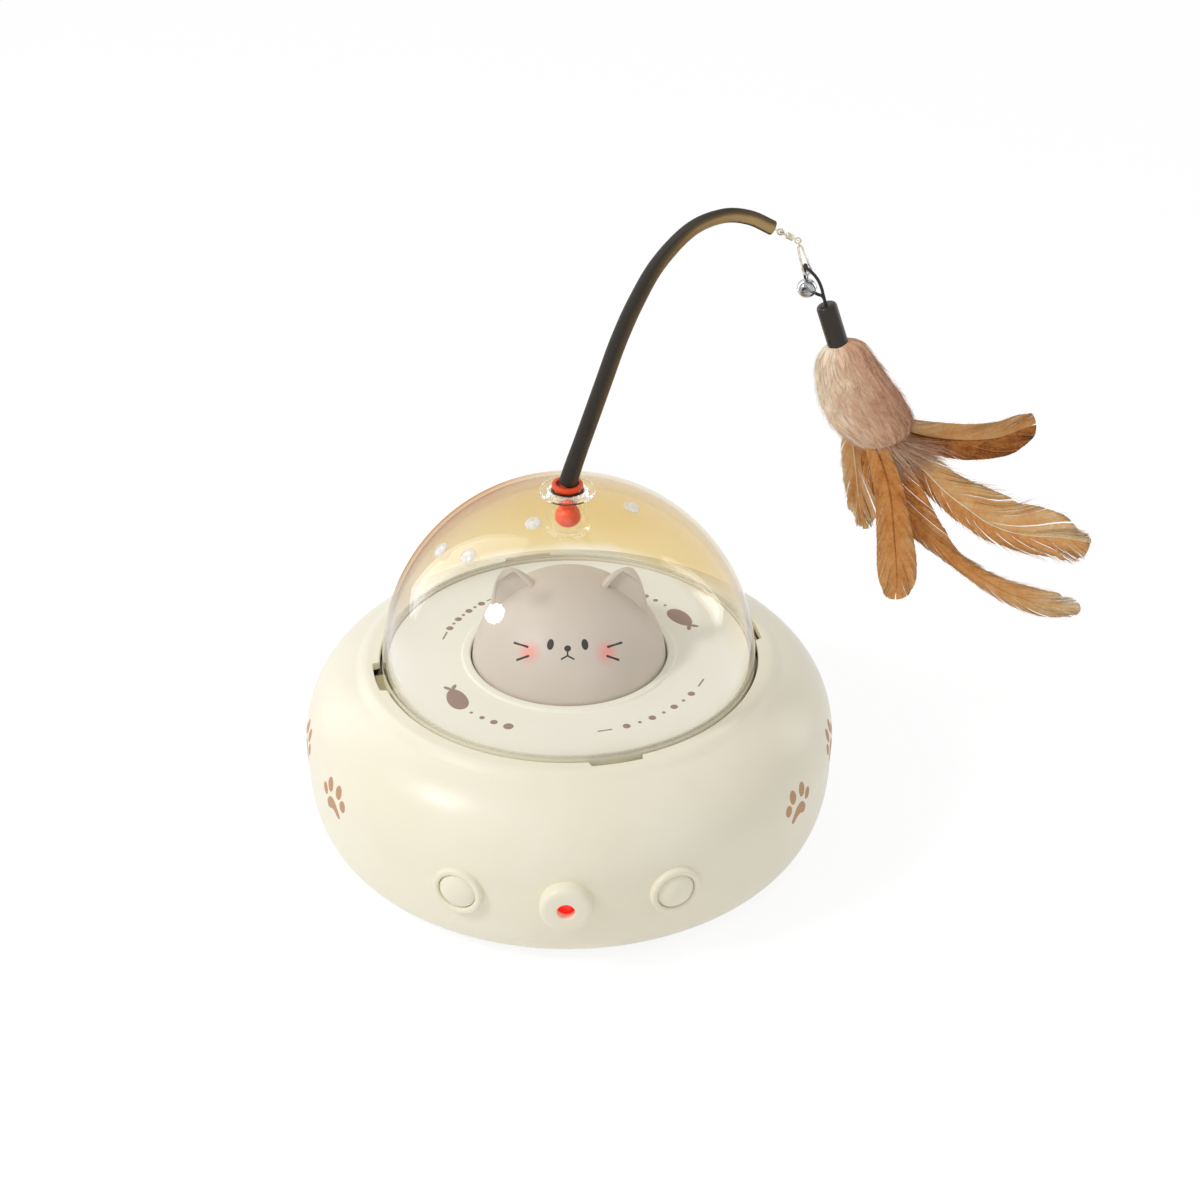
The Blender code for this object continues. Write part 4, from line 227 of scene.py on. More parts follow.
# How each feather's barbs lie and what tone they have
PLAIN = {
    "bare": 0.12, "slant": 2.2, "locks": 22, "fray": 0.35, "worn": 0.7, "round": 0.04,
    "ruffle": 0.0005, "camber": 0.0008, "tone": 0.42, "edge_tone": 0.05, "tip_tone": 0.0,
    "hand_tone": 0.0, "pale": 0.2, "shaft_tone": 0.8, "hairs": 130, "hair_bias": 1.0,
}
LOOKS = {
    "feather_top": {**PLAIN, "hand_tone": 0.2, "tip_tone": -0.16, "camber": 0.0014, "slant": 2.8,
                    "shaft_tone": 0.05, "round": 0.03},
    "feather_wide": {**PLAIN, "fray": 1.5, "worn": 0.62, "locks": 26, "tip_tone": 0.1,
                     "shaft_tone": 0.97, "tone": 0.46, "hand_tone": 0.1, "slant": 2.6, "hairs": 260,
                     "hair_bias": 2.0},
    "feather_long": {**PLAIN, "fray": 1.1, "worn": 0.5, "locks": 34, "tip_tone": 0.5, "tone": 0.22,
                     "shaft_tone": 0.35, "pale": 0.5, "slant": 3.2, "hairs": 320, "hair_bias": 1.6},
    "feather_drooping": {**PLAIN, "tip_tone": 0.08, "tone": 0.34, "shaft_tone": 0.12, "pale": 0.35},
    "feather_short": {**PLAIN, "tone": 0.5, "edge_tone": 0.3, "pale": 0.7, "fray": 1.1, "worn": 0.2,
                      "locks": 14, "ruffle": 0.0012, "slant": 2.6, "hairs": 160},
}

# Lamps: place, height on the axis that they face, shape, size and watts
LAMPS = {
    "key_lamp": ((-0.71, -0.335, 0.785), 0.07, "DISK", (0.2,), 3.8),
    "left_panel": ((-0.89, 0.60, 0.62), 0.10, "RECTANGLE", (0.36, 1.8), 4.4),
    "right_panel": ((1.1, 0.5, 0.5), 0.10, "RECTANGLE", (0.25, 0.9), 2.0),
}
WORLD_LIGHT = 0.67
FLOOR_GLOW = 1.075
FLOOR_REACH = 4.0

SIDES = 192
FULL_TURN = 2 * math.pi
WHITE = (1.0, 1.0, 1.0, 1.0)


# Colours and finishes


def srgb(red, green, blue):
    """A colour of 0 to 255 per channel as linear light: ((c + 0.055) / 1.055) to the power 2.4."""
    share = np.array([red, green, blue]) / 255
    linear = np.where(share <= 0.04045, share / 12.92, ((share + 0.055) / 1.055) ** 2.4)
    return (*(float(part) for part in linear), 1.0)


def new_material(name):
    """An empty material and its node tree."""
    made = bpy.data.materials.new(name)
    made.use_nodes = True
    made.node_tree.nodes.clear()
    return made, made.node_tree


def add(tree, kind, inputs=None, **settings):
    """A node with its settings and inputs; an input that is a socket is linked."""
    made = tree.nodes.new("ShaderNode" + kind)
    for key, value in settings.items():
        setattr(made, key, value)
    for key, value in (inputs or {}).items():
        if isinstance(value, bpy.types.NodeSocket):
            tree.links.new(value, made.inputs[key])
        else:
            made.inputs[key].default_value = value
    return made


def object_place(tree):
    """The shaded point's place on Object coordinates."""
    return add(tree, "TexCoord").outputs["Object"]


def tone_of(tree):
    """The tone that a piece's own points carry."""
    return add(tree, "Attribute", attribute_name="tone").outputs["Fac"]


def grain(tree, scale, detail=2.0, distortion=0.0, stretch=(1.0, 1.0, 1.0)):
    """A noise on Object coordinates, stretched by one factor for each axis."""
    spot = add(tree, "Mapping", {"Vector": object_place(tree), "Scale": stretch}).outputs["Vector"]
    return add(tree, "TexNoise", {"Vector": spot, "Scale": scale, "Detail": detail,
                                  "Distortion": distortion}).outputs["Fac"]


def between(tree, value, low, high, start=0.0, end=1.0):
    """A value carried from one range to another."""
    return add(tree, "MapRange", {"Value": value, "From Min": start, "From Max": end,
                                  "To Min": low, "To Max": high}).outputs["Result"]


def arithmetic(tree, operation, first, second, **settings):
    """Two values joined by one operation."""
    return add(tree, "Math", {0: first, 1: second}, operation=operation, **settings).outputs["Value"]


def mixed(tree, share, first, second):
    """Two colours mixed by a share."""
    return add(tree, "Mix", {0: share, 6: first, 7: second}, data_type="RGBA").outputs[2]


def mottled(tree, noise, colour, shade, start=0.35, end=0.65):
    """Two colours mixed by a noise between two of its levels."""
    return mixed(tree, between(tree, noise, 0.0, 1.0, start, end), colour, shade)


def ramp(tree, value, stops):
    """A colour ramp through (place, colour) stops."""
    made = add(tree, "ValToRGB", {"Fac": value})
    steps = made.color_ramp.elements
    while len(steps) < len(stops):
        steps.new(0.5)
    for step, (place, colour) in zip(steps, stops):
        step.position = place
        step.color = srgb(*colour)
    return made.outputs["Color"]


def bump(tree, height, distance, strength=1.0):
    """A normal raised by a height, to a distance in metres."""
    raised = {"Height": height, "Distance": distance, "Strength": strength}
    return add(tree, "Bump", raised).outputs["Normal"]


def blended(tree, share, first, second):
    """Two shaders mixed by a share."""
    return add(tree, "MixShader", {0: share, 1: first.outputs[0], 2: second.outputs[0]})


def output(tree, shader):
    """End a material in its shader."""
    add(tree, "OutputMaterial", {"Surface": shader.outputs[0]})


def moulded(name, colour, shade, roughness, grain_scale, grain_depth):
    """Moulded plastic or rubber: a faint mottle between two shades and a fine grain in the surface."""
    made, tree = new_material(name)
    fine = grain(tree, grain_scale)
    output(tree, add(tree, "BsdfPrincipled", {
        "Base Color": mottled(tree, grain(tree, 26.0, 3.0), srgb(*colour), srgb(*shade)),
        "Roughness": between(tree, fine, roughness - 0.04, roughness + 0.06),
        "Normal": bump(tree, fine, grain_depth),
        "Specular IOR Level": 0.35,
    }))
    return made


def metal(name, colour, dark, roughness, scale):
    """Bright metal with a cloudy mottle between two colours and fine scratches. On most metals the mottle is
    tarnish; on the bell its near-black colour is painted dark reflections.
    """
    made, tree = new_material(name)
    cloud = grain(tree, scale, 4.0, 0.6)
    scratches = grain(tree, scale * 9, 2.0, 0.0, (1.0, 1.0, 6.0))
    output(tree, add(tree, "BsdfPrincipled", {
        "Base Color": mottled(tree, cloud, colour, dark, 0.4, 0.75),
        "Metallic": 1.0,
        "Roughness": between(tree, cloud, roughness, roughness + 0.14, 0.3, 0.7),
        "Normal": bump(tree, scratches, 0.00001, 0.4),
    }))
    return made


def printed_ink(name, colour, shade):
    """Matt ink: a slightly uneven cover of one colour."""
    made, tree = new_material(name)
    cover = grain(tree, 1400.0, 3.0)
    output(tree, add(tree, "BsdfPrincipled", {
        "Base Color": mottled(tree, cover, srgb(*colour), srgb(*shade), 0.35, 0.7),
        "Roughness": between(tree, cover, 0.5, 0.68),
        "Normal": bump(tree, cover, 0.00001),
    }))
    return made


def head_finish():
    """Satin grey-beige plastic with a soft pink blush round each cheek's middle."""
    made, tree = new_material("head_plastic")
    fine = grain(tree, 2600.0)
    colour = mottled(tree, grain(tree, 30.0, 3.0), srgb(217, 205, 191), srgb(211, 199, 185))
    for azimuth in (-CHEEK[0], CHEEK[0]):
        middle = on_head(azimuth, CHEEK[1])(np.zeros((1, 2)), np.zeros(1))[0]
        away = add(tree, "VectorMath", {0: object_place(tree), 1: tuple(middle)}, operation="DISTANCE")
        share = between(tree, away.outputs["Value"], 0.85, 0.0, 0.0012, 0.0052)
        colour = mixed(tree, share, colour, srgb(246, 158, 146))
    output(tree, add(tree, "BsdfPrincipled", {
        "Base Color": colour,
        "Roughness": between(tree, fine, 0.42, 0.5),
        "Normal": bump(tree, fine, 0.00001),
        "Subsurface Weight": 0.05, "Subsurface Scale": 0.002,
    }))
    return made


def seen_rays(tree):
    """One for camera, glossy and transmission rays, which see the pale background."""
    path = add(tree, "LightPath").outputs
    most = arithmetic(tree, "MAXIMUM", path["Is Camera Ray"], path["Is Glossy Ray"])
    return arithmetic(tree, "MAXIMUM", most, path["Is Transmission Ray"])


def clear_wall():
    """Clear polished plastic as a thin wall: what is behind shows through, and the surface reflects
    as 0.016 + 0.984 (1 - cos)^4. Painted yellow stands in for warm surroundings seen through the
    clear wall: in the crown, and for camera, glossy and transmission rays in the rear half above the
    casing. A painted orange refraction lies along the upper left edge at grazing angles, where it takes
    the place of most of the reflection. The foot is painted an opaque bright cream, which stands in for
    the lit disc seen through it and covers the shade in the channel."""
    made, tree = new_material("clear_wall")

    def product(first, second, operation="MULTIPLY"):
        return arithmetic(tree, operation, first, second)

    def step(value, start, end, low=0.0, high=1.0):
        return between(tree, value, low, high, start, end)

    facing = add(tree, "LayerWeight", {"Blend": 0.5}).outputs["Facing"]
    axes = add(tree, "SeparateXYZ", {"Vector": object_place(tree)}).outputs
    x, y, z = axes["X"], axes["Y"], axes["Z"]
    level = product(z, step(grain(tree, 22.0, 3.0), 0.3, 0.7, -0.003, 0.003), "ADD")
    behind = product(y, product(x, 0.2), "ADD")
    # Painted yellow of warm surroundings seen through the wall, in the crown
    painted_tint = mixed(tree, step(level, 0.128, 0.136), (0.995, 0.995, 0.993, 1.0), CROWN_PAINTED_SURROUNDINGS)
    # Painted yellow of warm surroundings seen through the rear half, for seen rays only
    rear = product(product(step(level, 0.0715, 0.079), step(behind, -0.022, 0.03)), seen_rays(tree))
    painted_tint = mixed(tree, rear, painted_tint, REAR_PAINTED_SURROUNDINGS)
    # Painted orange refraction along the upper left edge at grazing angles; the reflection gives way to it
    rim = product(product(facing, 5.0, "POWER"), step(z, 0.085, 0.1))
    rim = product(rim, step(x, -0.03, 0.01, 1.0, 0.08))
    painted_tint = mixed(tree, rim, painted_tint, EDGE_PAINTED_REFRACTION)
    through = add(tree, "BsdfTransparent", {"Color": painted_tint})
    gloss = add(tree, "BsdfGlossy", {
        "Color": WHITE, "Roughness": between(tree, grain(tree, 60.0, 3.0), 0.015, 0.04)})
    mirror = between(tree, product(facing, 4.0, "POWER"), 0.016, 1.0)
    wall = blended(tree, product(mirror, step(rim, 0.0, 0.6, 1.0, 0.1)), through, gloss)
    # The foot, painted an opaque bright cream that stands in for the lit disc seen through it and covers the
    # channel's shade
    painted_foot = add(tree, "BsdfPrincipled", {"Base Color": srgb(246, 241, 222), "Roughness": 0.3})
    output(tree, blended(tree, step(z, 0.0699, 0.0713, 1.0, 0.0), wall, painted_foot))
    return made


def clear_cup():
    """Thick clear plastic that bends what is seen through it, and lets the lamps' light pass."""
    made, tree = new_material("clear_cup")
    glass = add(tree, "BsdfPrincipled", {
        "Base Color": (0.985, 0.99, 0.99, 1.0), "Roughness": 0.01, "IOR": 1.16,
        "Transmission Weight": 1.0, "Normal": bump(tree, grain(tree, 220.0), 0.00002, 0.3),
        "Coat Weight": 0.3, "Coat Roughness": 0.02,
    })
    through = add(tree, "BsdfTransparent", {"Color": (0.95, 0.96, 0.96, 1.0)})
    shadow = add(tree, "LightPath").outputs["Is Shadow Ray"]
    output(tree, blended(tree, shadow, glass, through))
    return made


def pip_painted_highlight():
    """Clear plastic with white patches painted in, which stand in for the highlights on the clear pips."""
    made, tree = new_material("pip_painted_highlight")
    cloud = grain(tree, 500.0, 3.0)
    white = add(tree, "BsdfPrincipled", {
        "Base Color": (0.95, 0.95, 0.94, 1.0), "Roughness": between(tree, cloud, 0.08, 0.2)})
    through = add(tree, "BsdfTransparent", {"Color": (0.97, 0.97, 0.96, 1.0)})
    output(tree, blended(tree, between(tree, cloud, 0.35, 0.75, 0.3, 0.7), through, white))
    return made


def plumage(name, stops, glow):
    """Feather barbs or down: a colour ramp on each barb's own tone, broken up by a fine noise, with
    some light let through."""
    made, tree = new_material(name)
    blotch = between(tree, grain(tree, 170.0, 3.0, 0.4), -0.1, 0.1, 0.3, 0.7)
    fleck = between(tree, grain(tree, 900.0), -0.07, 0.07, 0.3, 0.7)
    tone = arithmetic(tree, "ADD", tone_of(tree), blotch)
    colour = ramp(tree, arithmetic(tree, "ADD", tone, fleck, use_clamp=True), stops)
    body = add(tree, "BsdfPrincipled", {
        "Base Color": colour, "Roughness": 0.66, "Specular IOR Level": 0.22,
    })
    output(tree, blended(tree, glow, body, add(tree, "BsdfTranslucent", {"Color": colour})))
    return made


def wand_painted_sheen():
    """Smooth near-black rubber with a painted tan reflection laid on by the tone."""
    made, tree = new_material("wand_rubber")
    fine = grain(tree, 2400.0)
    cloud = between(tree, grain(tree, 90.0, 3.0), -0.05, 0.05, 0.3, 0.7)
    output(tree, add(tree, "BsdfPrincipled", {
        # The tan stops are a painted warm reflection
        "Base Color": ramp(tree, arithmetic(tree, "ADD", tone_of(tree), cloud),
                           [(0.05, (48, 43, 36)), (0.5, (98, 77, 46)), (1.0, (170, 142, 96))]),
        "Roughness": between(tree, fine, 0.5, 0.6),
        "Normal": bump(tree, fine, 0.00001),
        "Specular IOR Level": 0.22,
    }))
    return made


def braid_finish():
    """Black elastic cord: fine slanted ribs round the cord."""
    made, tree = new_material("black_elastic")
    ribs = add(tree, "TexWave", {"Vector": object_place(tree), "Scale": 900.0, "Distortion": 1.5},
               bands_direction="DIAGONAL").outputs["Fac"]
    output(tree, add(tree, "BsdfPrincipled", {
        "Base Color": mixed(tree, ribs, srgb(20, 19, 18), srgb(48, 45, 42)),
        "Roughness": 0.72,
        "Normal": bump(tree, ribs, 0.00006),
    }))
    return made


def board_finish():
    """Green lacquered circuit board with copper tracks under the lacquer."""
    made, tree = new_material("circuit_board")
    cells = add(tree, "TexBrick", {
        "Vector": object_place(tree), "Scale": 260.0, "Mortar Size": 0.035, "Color1": srgb(16, 92, 52),
        "Color2": srgb(20, 104, 58), "Mortar": srgb(70, 128, 60)}).outputs
    output(tree, add(tree, "BsdfPrincipled", {
        "Base Color": cells["Color"], "Roughness": 0.32, "Normal": bump(tree, cells["Fac"], 0.00004),
    }))
    return made


def lens_painted_glow():
    """Red lens with painted light: it glows though it is no lamp, and its middle is painted brighter."""
    made, tree = new_material("red_lens")
    away = add(tree, "VectorMath", {0: object_place(tree), 1: (0.0, -0.1013, FRONT_HEIGHT)},
               operation="DISTANCE").outputs["Value"]
    # The painted brighter middle of the lens
    glow = between(tree, away, 1.0, 0.0, 0.0, 0.003)
    output(tree, add(tree, "BsdfPrincipled", {
        "Base Color": mixed(tree, glow, srgb(180, 8, 6), srgb(250, 20, 14)),
        "Roughness": between(tree, grain(tree, 500.0), 0.08, 0.14),
        # A painted glow, though the lens is no lamp
        "Emission Color": (1.0, 0.006, 0.002, 1.0), "Emission Strength": 0.75,
    }))
    return made


def wrapped_cell():
    """Blue shrink wrap with a white band at one end of the round cell."""
    made, tree = new_material("cell_wrap")
    end = add(tree, "SeparateXYZ", {"Vector": object_place(tree)}).outputs["X"]
    band = arithmetic(tree, "GREATER_THAN", end, 0.024)
    crease = grain(tree, 500.0, 3.0, 0.5)
    output(tree, add(tree, "BsdfPrincipled", {
        "Base Color": mixed(tree, band, srgb(52, 98, 168), srgb(224, 226, 228)),
        "Roughness": between(tree, crease, 0.28, 0.42),
        "Normal": bump(tree, crease, 0.00003),
    }))
    return made


# Meshes from arrays


def solid(name, skins):
    """Skins of points, faces and perhaps tones as one object, with each shell's faces outwards."""
    points, face_sets = gathered(skins)
    mesh = bpy.data.meshes.new(name)
    corners = np.concatenate([faces.ravel() for faces in face_sets])
    totals = np.concatenate([np.full(len(faces), faces.shape[1]) for faces in face_sets])
    mesh.vertices.add(len(points))
    mesh.vertices.foreach_set("co", np.asarray(points, np.float32).ravel())
    mesh.loops.add(len(corners))
    mesh.loops.foreach_set("vertex_index", corners.astype(np.int32))
    mesh.polygons.add(len(totals))
    mesh.polygons.foreach_set("loop_start", (np.cumsum(totals) - totals).astype(np.int32))
    mesh.update(calc_edges=True)
    mesh.validate()
    if len(skins[0]) == 3:
        tones = np.concatenate([skin[2] for skin in skins]).astype(np.float32)
        mesh.attributes.new("tone", "FLOAT", "POINT").data.foreach_set("value", tones)
    made = bpy.data.objects.new(name, mesh)
    bpy.context.scene.collection.objects.link(made)
    builder = bmesh.new()
    builder.from_mesh(mesh)
    bmesh.ops.recalc_face_normals(builder, faces=builder.faces)
    builder.to_mesh(mesh)
    builder.free()
    return made


def fitted(obj, body, finish, replaced=(), sharp=40.0):
    """Give a piece its finish, its body and the CAD nodes that it stands for."""
    obj.data.materials.clear()
    obj.data.materials.append(FINISHES[finish])
    obj.data.shade_smooth()
    obj.data.set_sharp_from_angle(angle=math.radians(sharp))
    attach(obj, body)
    if replaced:
        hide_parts(*replaced)


def piece(name, skins, body, finish, replaced=(), sharp=40.0):
    """Skins as one finished piece."""
    fitted(solid(name, skins), body, finish, replaced, sharp)


def grid_faces(rows, columns, closed_rows=False):
    """Quads between neighbours of a grid of points, wrapped round its columns and perhaps its rows."""
    row = np.arange(rows if closed_rows else rows - 1)[:, None]
    column = np.arange(columns)[None, :]
    after_row = (row + 1) % rows
    after_column = (column + 1) % columns
    return np.stack([row * columns + column, row * columns + after_column,
                     after_row * columns + after_column, after_row * columns + column], -1).reshape(-1, 4)


def closed_skin(grid, closed_rows=False):
    """Points and faces of a grid wrapped round its columns; its first and last row each shrink to a
    pole at their mean, or join each other."""
    rows, columns = grid.shape[:2]
    points = grid.reshape(-1, 3)
    faces = [grid_faces(rows, columns, closed_rows)]
    if not closed_rows:
        column = np.arange(columns)
        after = (column + 1) % columns
        last = (rows - 1) * columns
        low = np.stack([np.full(columns, rows * columns), after, column], 1)
        high = np.stack([np.full(columns, rows * columns + 1), last + column, last + after], 1)
        points = np.vstack([points, grid[0].mean(0), grid[-1].mean(0)])
        faces.append(np.vstack([low, high]))
    return points, faces


def gathered(skins):
    """Several skins as the points and faces of one."""
    shifts = np.cumsum([0] + [len(skin[0]) for skin in skins])
    faces = [part + shift for skin, shift in zip(skins, shifts) for part in skin[1]]
    return np.vstack([skin[0] for skin in skins]), faces


def placed(points, frame_matrix):
    """Points carried by a 4 by 4 frame."""
    matrix = np.array(frame_matrix)
    return points @ matrix[:3, :3].T + matrix[:3, 3]


def rounded(corners, radii, steps=7, closed=True):
    """A profile with each corner replaced by a parabola that starts and ends one radius away on its
    two sides: (1-t)^2 A + 2t(1-t) C + t^2 B."""
    corner = np.array(corners, float)
    radius = np.broadcast_to(np.array(radii, float), len(corner)).copy()
    if not closed:
        radius[[0, -1]] = 0.0
    before = np.roll(corner, 1, 0) - corner
    after = np.roll(corner, -1, 0) - corner
    length_before = np.maximum(np.linalg.norm(before, axis=1), 1e-9)
    length_after = np.maximum(np.linalg.norm(after, axis=1), 1e-9)
    radius = np.minimum(radius, 0.49 * np.minimum(length_before, length_after))
    first = corner + before * (radius / length_before)[:, None]
    second = corner + after * (radius / length_after)[:, None]
    t = np.linspace(0.0, 1.0, steps)[None, :, None]
    curve = (1 - t) ** 2 * first[:, None] + 2 * t * (1 - t) * corner[:, None] + t ** 2 * second[:, None]
    points = curve.reshape(-1, 2)
    apart = np.linalg.norm(points - np.roll(points, 1, 0), axis=1) > 1e-6
    apart[0] = True
    return points[apart]


def turned_skin(profile, frame_matrix=None, sides=SIDES):
    """A profile of (radius, height) carried round its axis: x = r cos a, y = r sin a, z = h."""
    profile = np.asarray(profile, float)
    on_axis = profile[0, 0] < 1e-7 and profile[-1, 0] < 1e-7
    if on_axis and len(profile) > 4:
        profile = profile[1:-1]
    angle = around(sides)
    radius, height = profile[:, 0, None], profile[:, 1, None]
    grid = np.stack([radius * np.cos(angle), radius * np.sin(angle), height + 0 * angle], -1)
    points, faces = closed_skin(grid, closed_rows=not on_axis)
    return (placed(points, frame_matrix) if frame_matrix is not None else points), faces


def around(count):
    """Even angles of a full turn."""
    return np.linspace(0.0, FULL_TURN, count, endpoint=False)


def route(knots, count, lengths_of=3):
    """A Catmull-Rom curve through the knots, at even lengths measured on the first columns."""
    knot = np.asarray(knots, float)
    padded = np.vstack([2 * knot[0] - knot[1], knot, 2 * knot[-1] - knot[-2]])
    t = np.linspace(0.0, 1.0, 40, endpoint=False)[None, :, None]
    a, b, c, d = (padded[i:len(padded) - 3 + i, None, :] for i in range(4))
    dense = 0.5 * (2 * b + (c - a) * t + (2 * a - 5 * b + 4 * c - d) * t ** 2
                   + (3 * b - a - 3 * c + d) * t ** 3)
    dense = np.vstack([dense.reshape(-1, knot.shape[1]), knot[-1]])
    step = np.linalg.norm(np.diff(dense[:, :lengths_of], axis=0), axis=1)
    length = np.concatenate([[0.0], np.cumsum(step)])
    want = np.linspace(0.0, length[-1], count)
    return np.stack([np.interp(want, length, column) for column in dense.T], 1)


def unit(vectors):
    """Vectors brought to length one."""
    return vectors / np.maximum(np.linalg.norm(vectors, axis=-1, keepdims=True), 1e-12)


def tube_skin(path, radius, up=(0.0, 1.0, 0.0), sides=20, closed=False, rounding=0.0):
    """A round section carried along a path: P + r (n cos a + b sin a), with n square to the path and
    to the up direction. Rounded ends shrink as r - e + sqrt(e^2 - (e - d)^2) at d from the end."""
    path = np.asarray(path, float)
    if rounding:
        step = np.linalg.norm(np.diff(path, axis=0), axis=1)
        length = np.concatenate([[0.0], np.cumsum(step)])
        share = 1 - np.cos(np.linspace(0.0, math.pi / 2, 7))
        inside = length[(length > rounding) & (length < length[-1] - rounding)]
        want = np.unique(np.concatenate([rounding * share, inside, length[-1] - rounding * share]))
        radius = np.interp(want, length, np.broadcast_to(radius, len(path)))
        path = np.stack([np.interp(want, length, column) for column in path.T], 1)
        near = np.minimum(np.minimum(want, want[-1] - want), rounding)
        radius = radius - rounding + np.sqrt(np.maximum(rounding ** 2 - (rounding - near) ** 2, 0.0))
    way = unit(np.roll(path, -1, 0) - np.roll(path, 1, 0) if closed else np.gradient(path, axis=0))
    across = unit(np.cross(np.array(up, float), way))
    over = np.cross(way, across)
    angle = around(sides)[None, :, None]
    radii = np.broadcast_to(radius, len(path))[:, None, None]
    grid = path[:, None] + radii * (across[:, None] * np.cos(angle) + over[:, None] * np.sin(angle))
    return closed_skin(grid, closed_rows=closed)


def ring_skin(centre, axis, radius=EYE_RADIUS):
    """A torus: a wire's section carried round a circle square to the axis."""
    axis = unit(np.array(axis, float))
    side = unit(np.cross(axis, (0.3, 0.2, 0.9)))
    angle = around(48)[:, None]
    path = np.array(centre) + radius * (side * np.cos(angle) + np.cross(axis, side) * np.sin(angle))
    return tube_skin(path, WIRE_RADIUS, up=axis, sides=12, closed=True)


def soft_box_skin(size, frame_matrix, power=0.28, steps=24):
    """A superellipsoid: x = a c(u) c(v), y = b c(u) s(v), z = h s(u), with each cosine and sine
    raised to a small power, which gives a box with soft edges."""
    u = np.linspace(-math.pi / 2, math.pi / 2, steps + 1)[1:-1, None]
    v = around(2 * steps)[None, :]

    def eased(values):
        return np.sign(values) * np.abs(values) ** power

    grid = np.stack([eased(np.cos(u)) * eased(np.cos(v)) * size[0] / 2,
                     eased(np.cos(u)) * eased(np.sin(v)) * size[1] / 2,
                     eased(np.sin(u)) * size[2] / 2 + 0 * v], -1)
    points, faces = closed_skin(grid)
    return placed(points, frame_matrix), faces


def outward(degrees, height):
    """A frame on the casing's axis whose +Z points level outwards at an angle from +X."""
    turn = Matrix.Rotation(math.radians(degrees), 4, "Z")
    tip = Matrix.Rotation(math.radians(90.0), 4, "Y")
    return Matrix.Translation((0.0, 0.0, height)) @ turn @ tip


def on_circle(radius, degrees, height=0.0):
    """A frame on a circle round the casing's axis."""
    angle = math.radians(degrees)
    return Matrix.Translation((radius * math.cos(angle), radius * math.sin(angle), height))


def facing_out(radius, degrees, height):
    """A frame on such a circle whose +X points outwards."""
    return on_circle(radius, degrees, height) @ Matrix.Rotation(math.radians(degrees), 4, "Z")


def along(start, direction):
    """A frame at a point whose +Z runs along a direction and whose +Y stays the world's."""
    z_axis = Vector(direction).normalized()
    x_axis = Vector((0.0, 1.0, 0.0)).cross(z_axis).normalized()
    y_axis = z_axis.cross(x_axis)
    return Matrix.Translation(start) @ Matrix((x_axis, y_axis, z_axis)).transposed().to_4x4()


def leaning(degrees):
    """A direction in the X-Z plane, leaned outwards from straight down."""
    angle = math.radians(degrees)
    return np.array((math.sin(angle), 0.0, -math.cos(angle)))


def square_to(way):
    """The direction in the X-Z plane square to another one in it."""
    return np.array((-way[2], 0.0, way[0]))


def combined(obj, tools, operation):
    """Join the tools' shapes to a piece or take them out of it, and keep the result as its mesh."""
    for tool in tools:
        modifier = obj.modifiers.new("shape", "BOOLEAN")
        modifier.operation = operation
        modifier.solver = "EXACT"
        modifier.object = tool
    mesh = bpy.data.meshes.new_from_object(obj.evaluated_get(bpy.context.evaluated_depsgraph_get()))
    obj.modifiers.clear()
    obj.data = mesh
    for tool in tools:
        bpy.data.objects.remove(tool, do_unlink=True)
    return obj


# Prints that lie on a surface


def casing_radius(height):
    """Radius of the casing's side at a height: two superellipse quarters that meet at its widest."""
    height = np.asarray(height, float)
    upper = np.clip((height - WIDEST_HEIGHT) / (RIM_HEIGHT - WIDEST_HEIGHT), 0.0, 1.0)
    lower = np.clip((WIDEST_HEIGHT - height) / (WIDEST_HEIGHT - BASE_UNDERSIDE), 0.0, 1.0)
    over = CROWN_RADIUS + (BASE_RADIUS - CROWN_RADIUS) * (1 - upper ** UPPER_POWER) ** (1 / UPPER_POWER)
    under = FLAT_RADIUS + (BASE_RADIUS - FLAT_RADIUS) * (1 - lower ** LOWER_POWER) ** (1 / LOWER_POWER)
    return np.where(height > WIDEST_HEIGHT, over, under)


def on_casing(azimuth, height):
    """Maps (across, up, lift) to the casing's side; azimuth is from the front towards +X."""
    def place(flat, lift):
        z = height + flat[:, 1]
        reach = casing_radius(z) + lift
        angle = math.radians(azimuth) + flat[:, 0] / casing_radius(z)
        return np.stack([reach * np.sin(angle), -reach * np.cos(angle), z], 1)
    return place


def on_head(azimuth, latitude):
    """Maps (across, up, lift) to the head's sphere through the tangent plane at a point."""
    az, lat = math.radians(azimuth), math.radians(latitude)
    normal = np.array([math.sin(az) * math.cos(lat), -math.cos(az) * math.cos(lat), math.sin(lat)])
    right = np.array([math.cos(az), math.sin(az), 0.0])
    up = np.cross(normal, -right)
    up = up if up[2] > 0 else -up

    def place(flat, lift):
        way = unit(normal + (flat[:, :1] * right + flat[:, 1:] * up) / HEAD_RADIUS)
        return np.array(HEAD_CENTRE) + way * (HEAD_RADIUS + lift)[:, None]
    return place


def on_disc(azimuth, radius, turn=0.0):
    """Maps (across, outwards, lift) to the disc's top, turned about the point by some degrees."""
    az = math.radians(azimuth)

    def place(flat, lift):
        x, y = leaned(flat, turn).T
        return np.stack([(radius + y) * math.sin(az) + x * math.cos(az),
                         -(radius + y) * math.cos(az) + x * math.sin(az), DISC_TOP + lift], 1)
    return place


def leaned(flat, degrees):
    """Flat points turned by some degrees."""
    c, s = math.cos(math.radians(degrees)), math.sin(math.radians(degrees))
    return np.stack([flat[:, 0] * c - flat[:, 1] * s, flat[:, 0] * s + flat[:, 1] * c], 1)


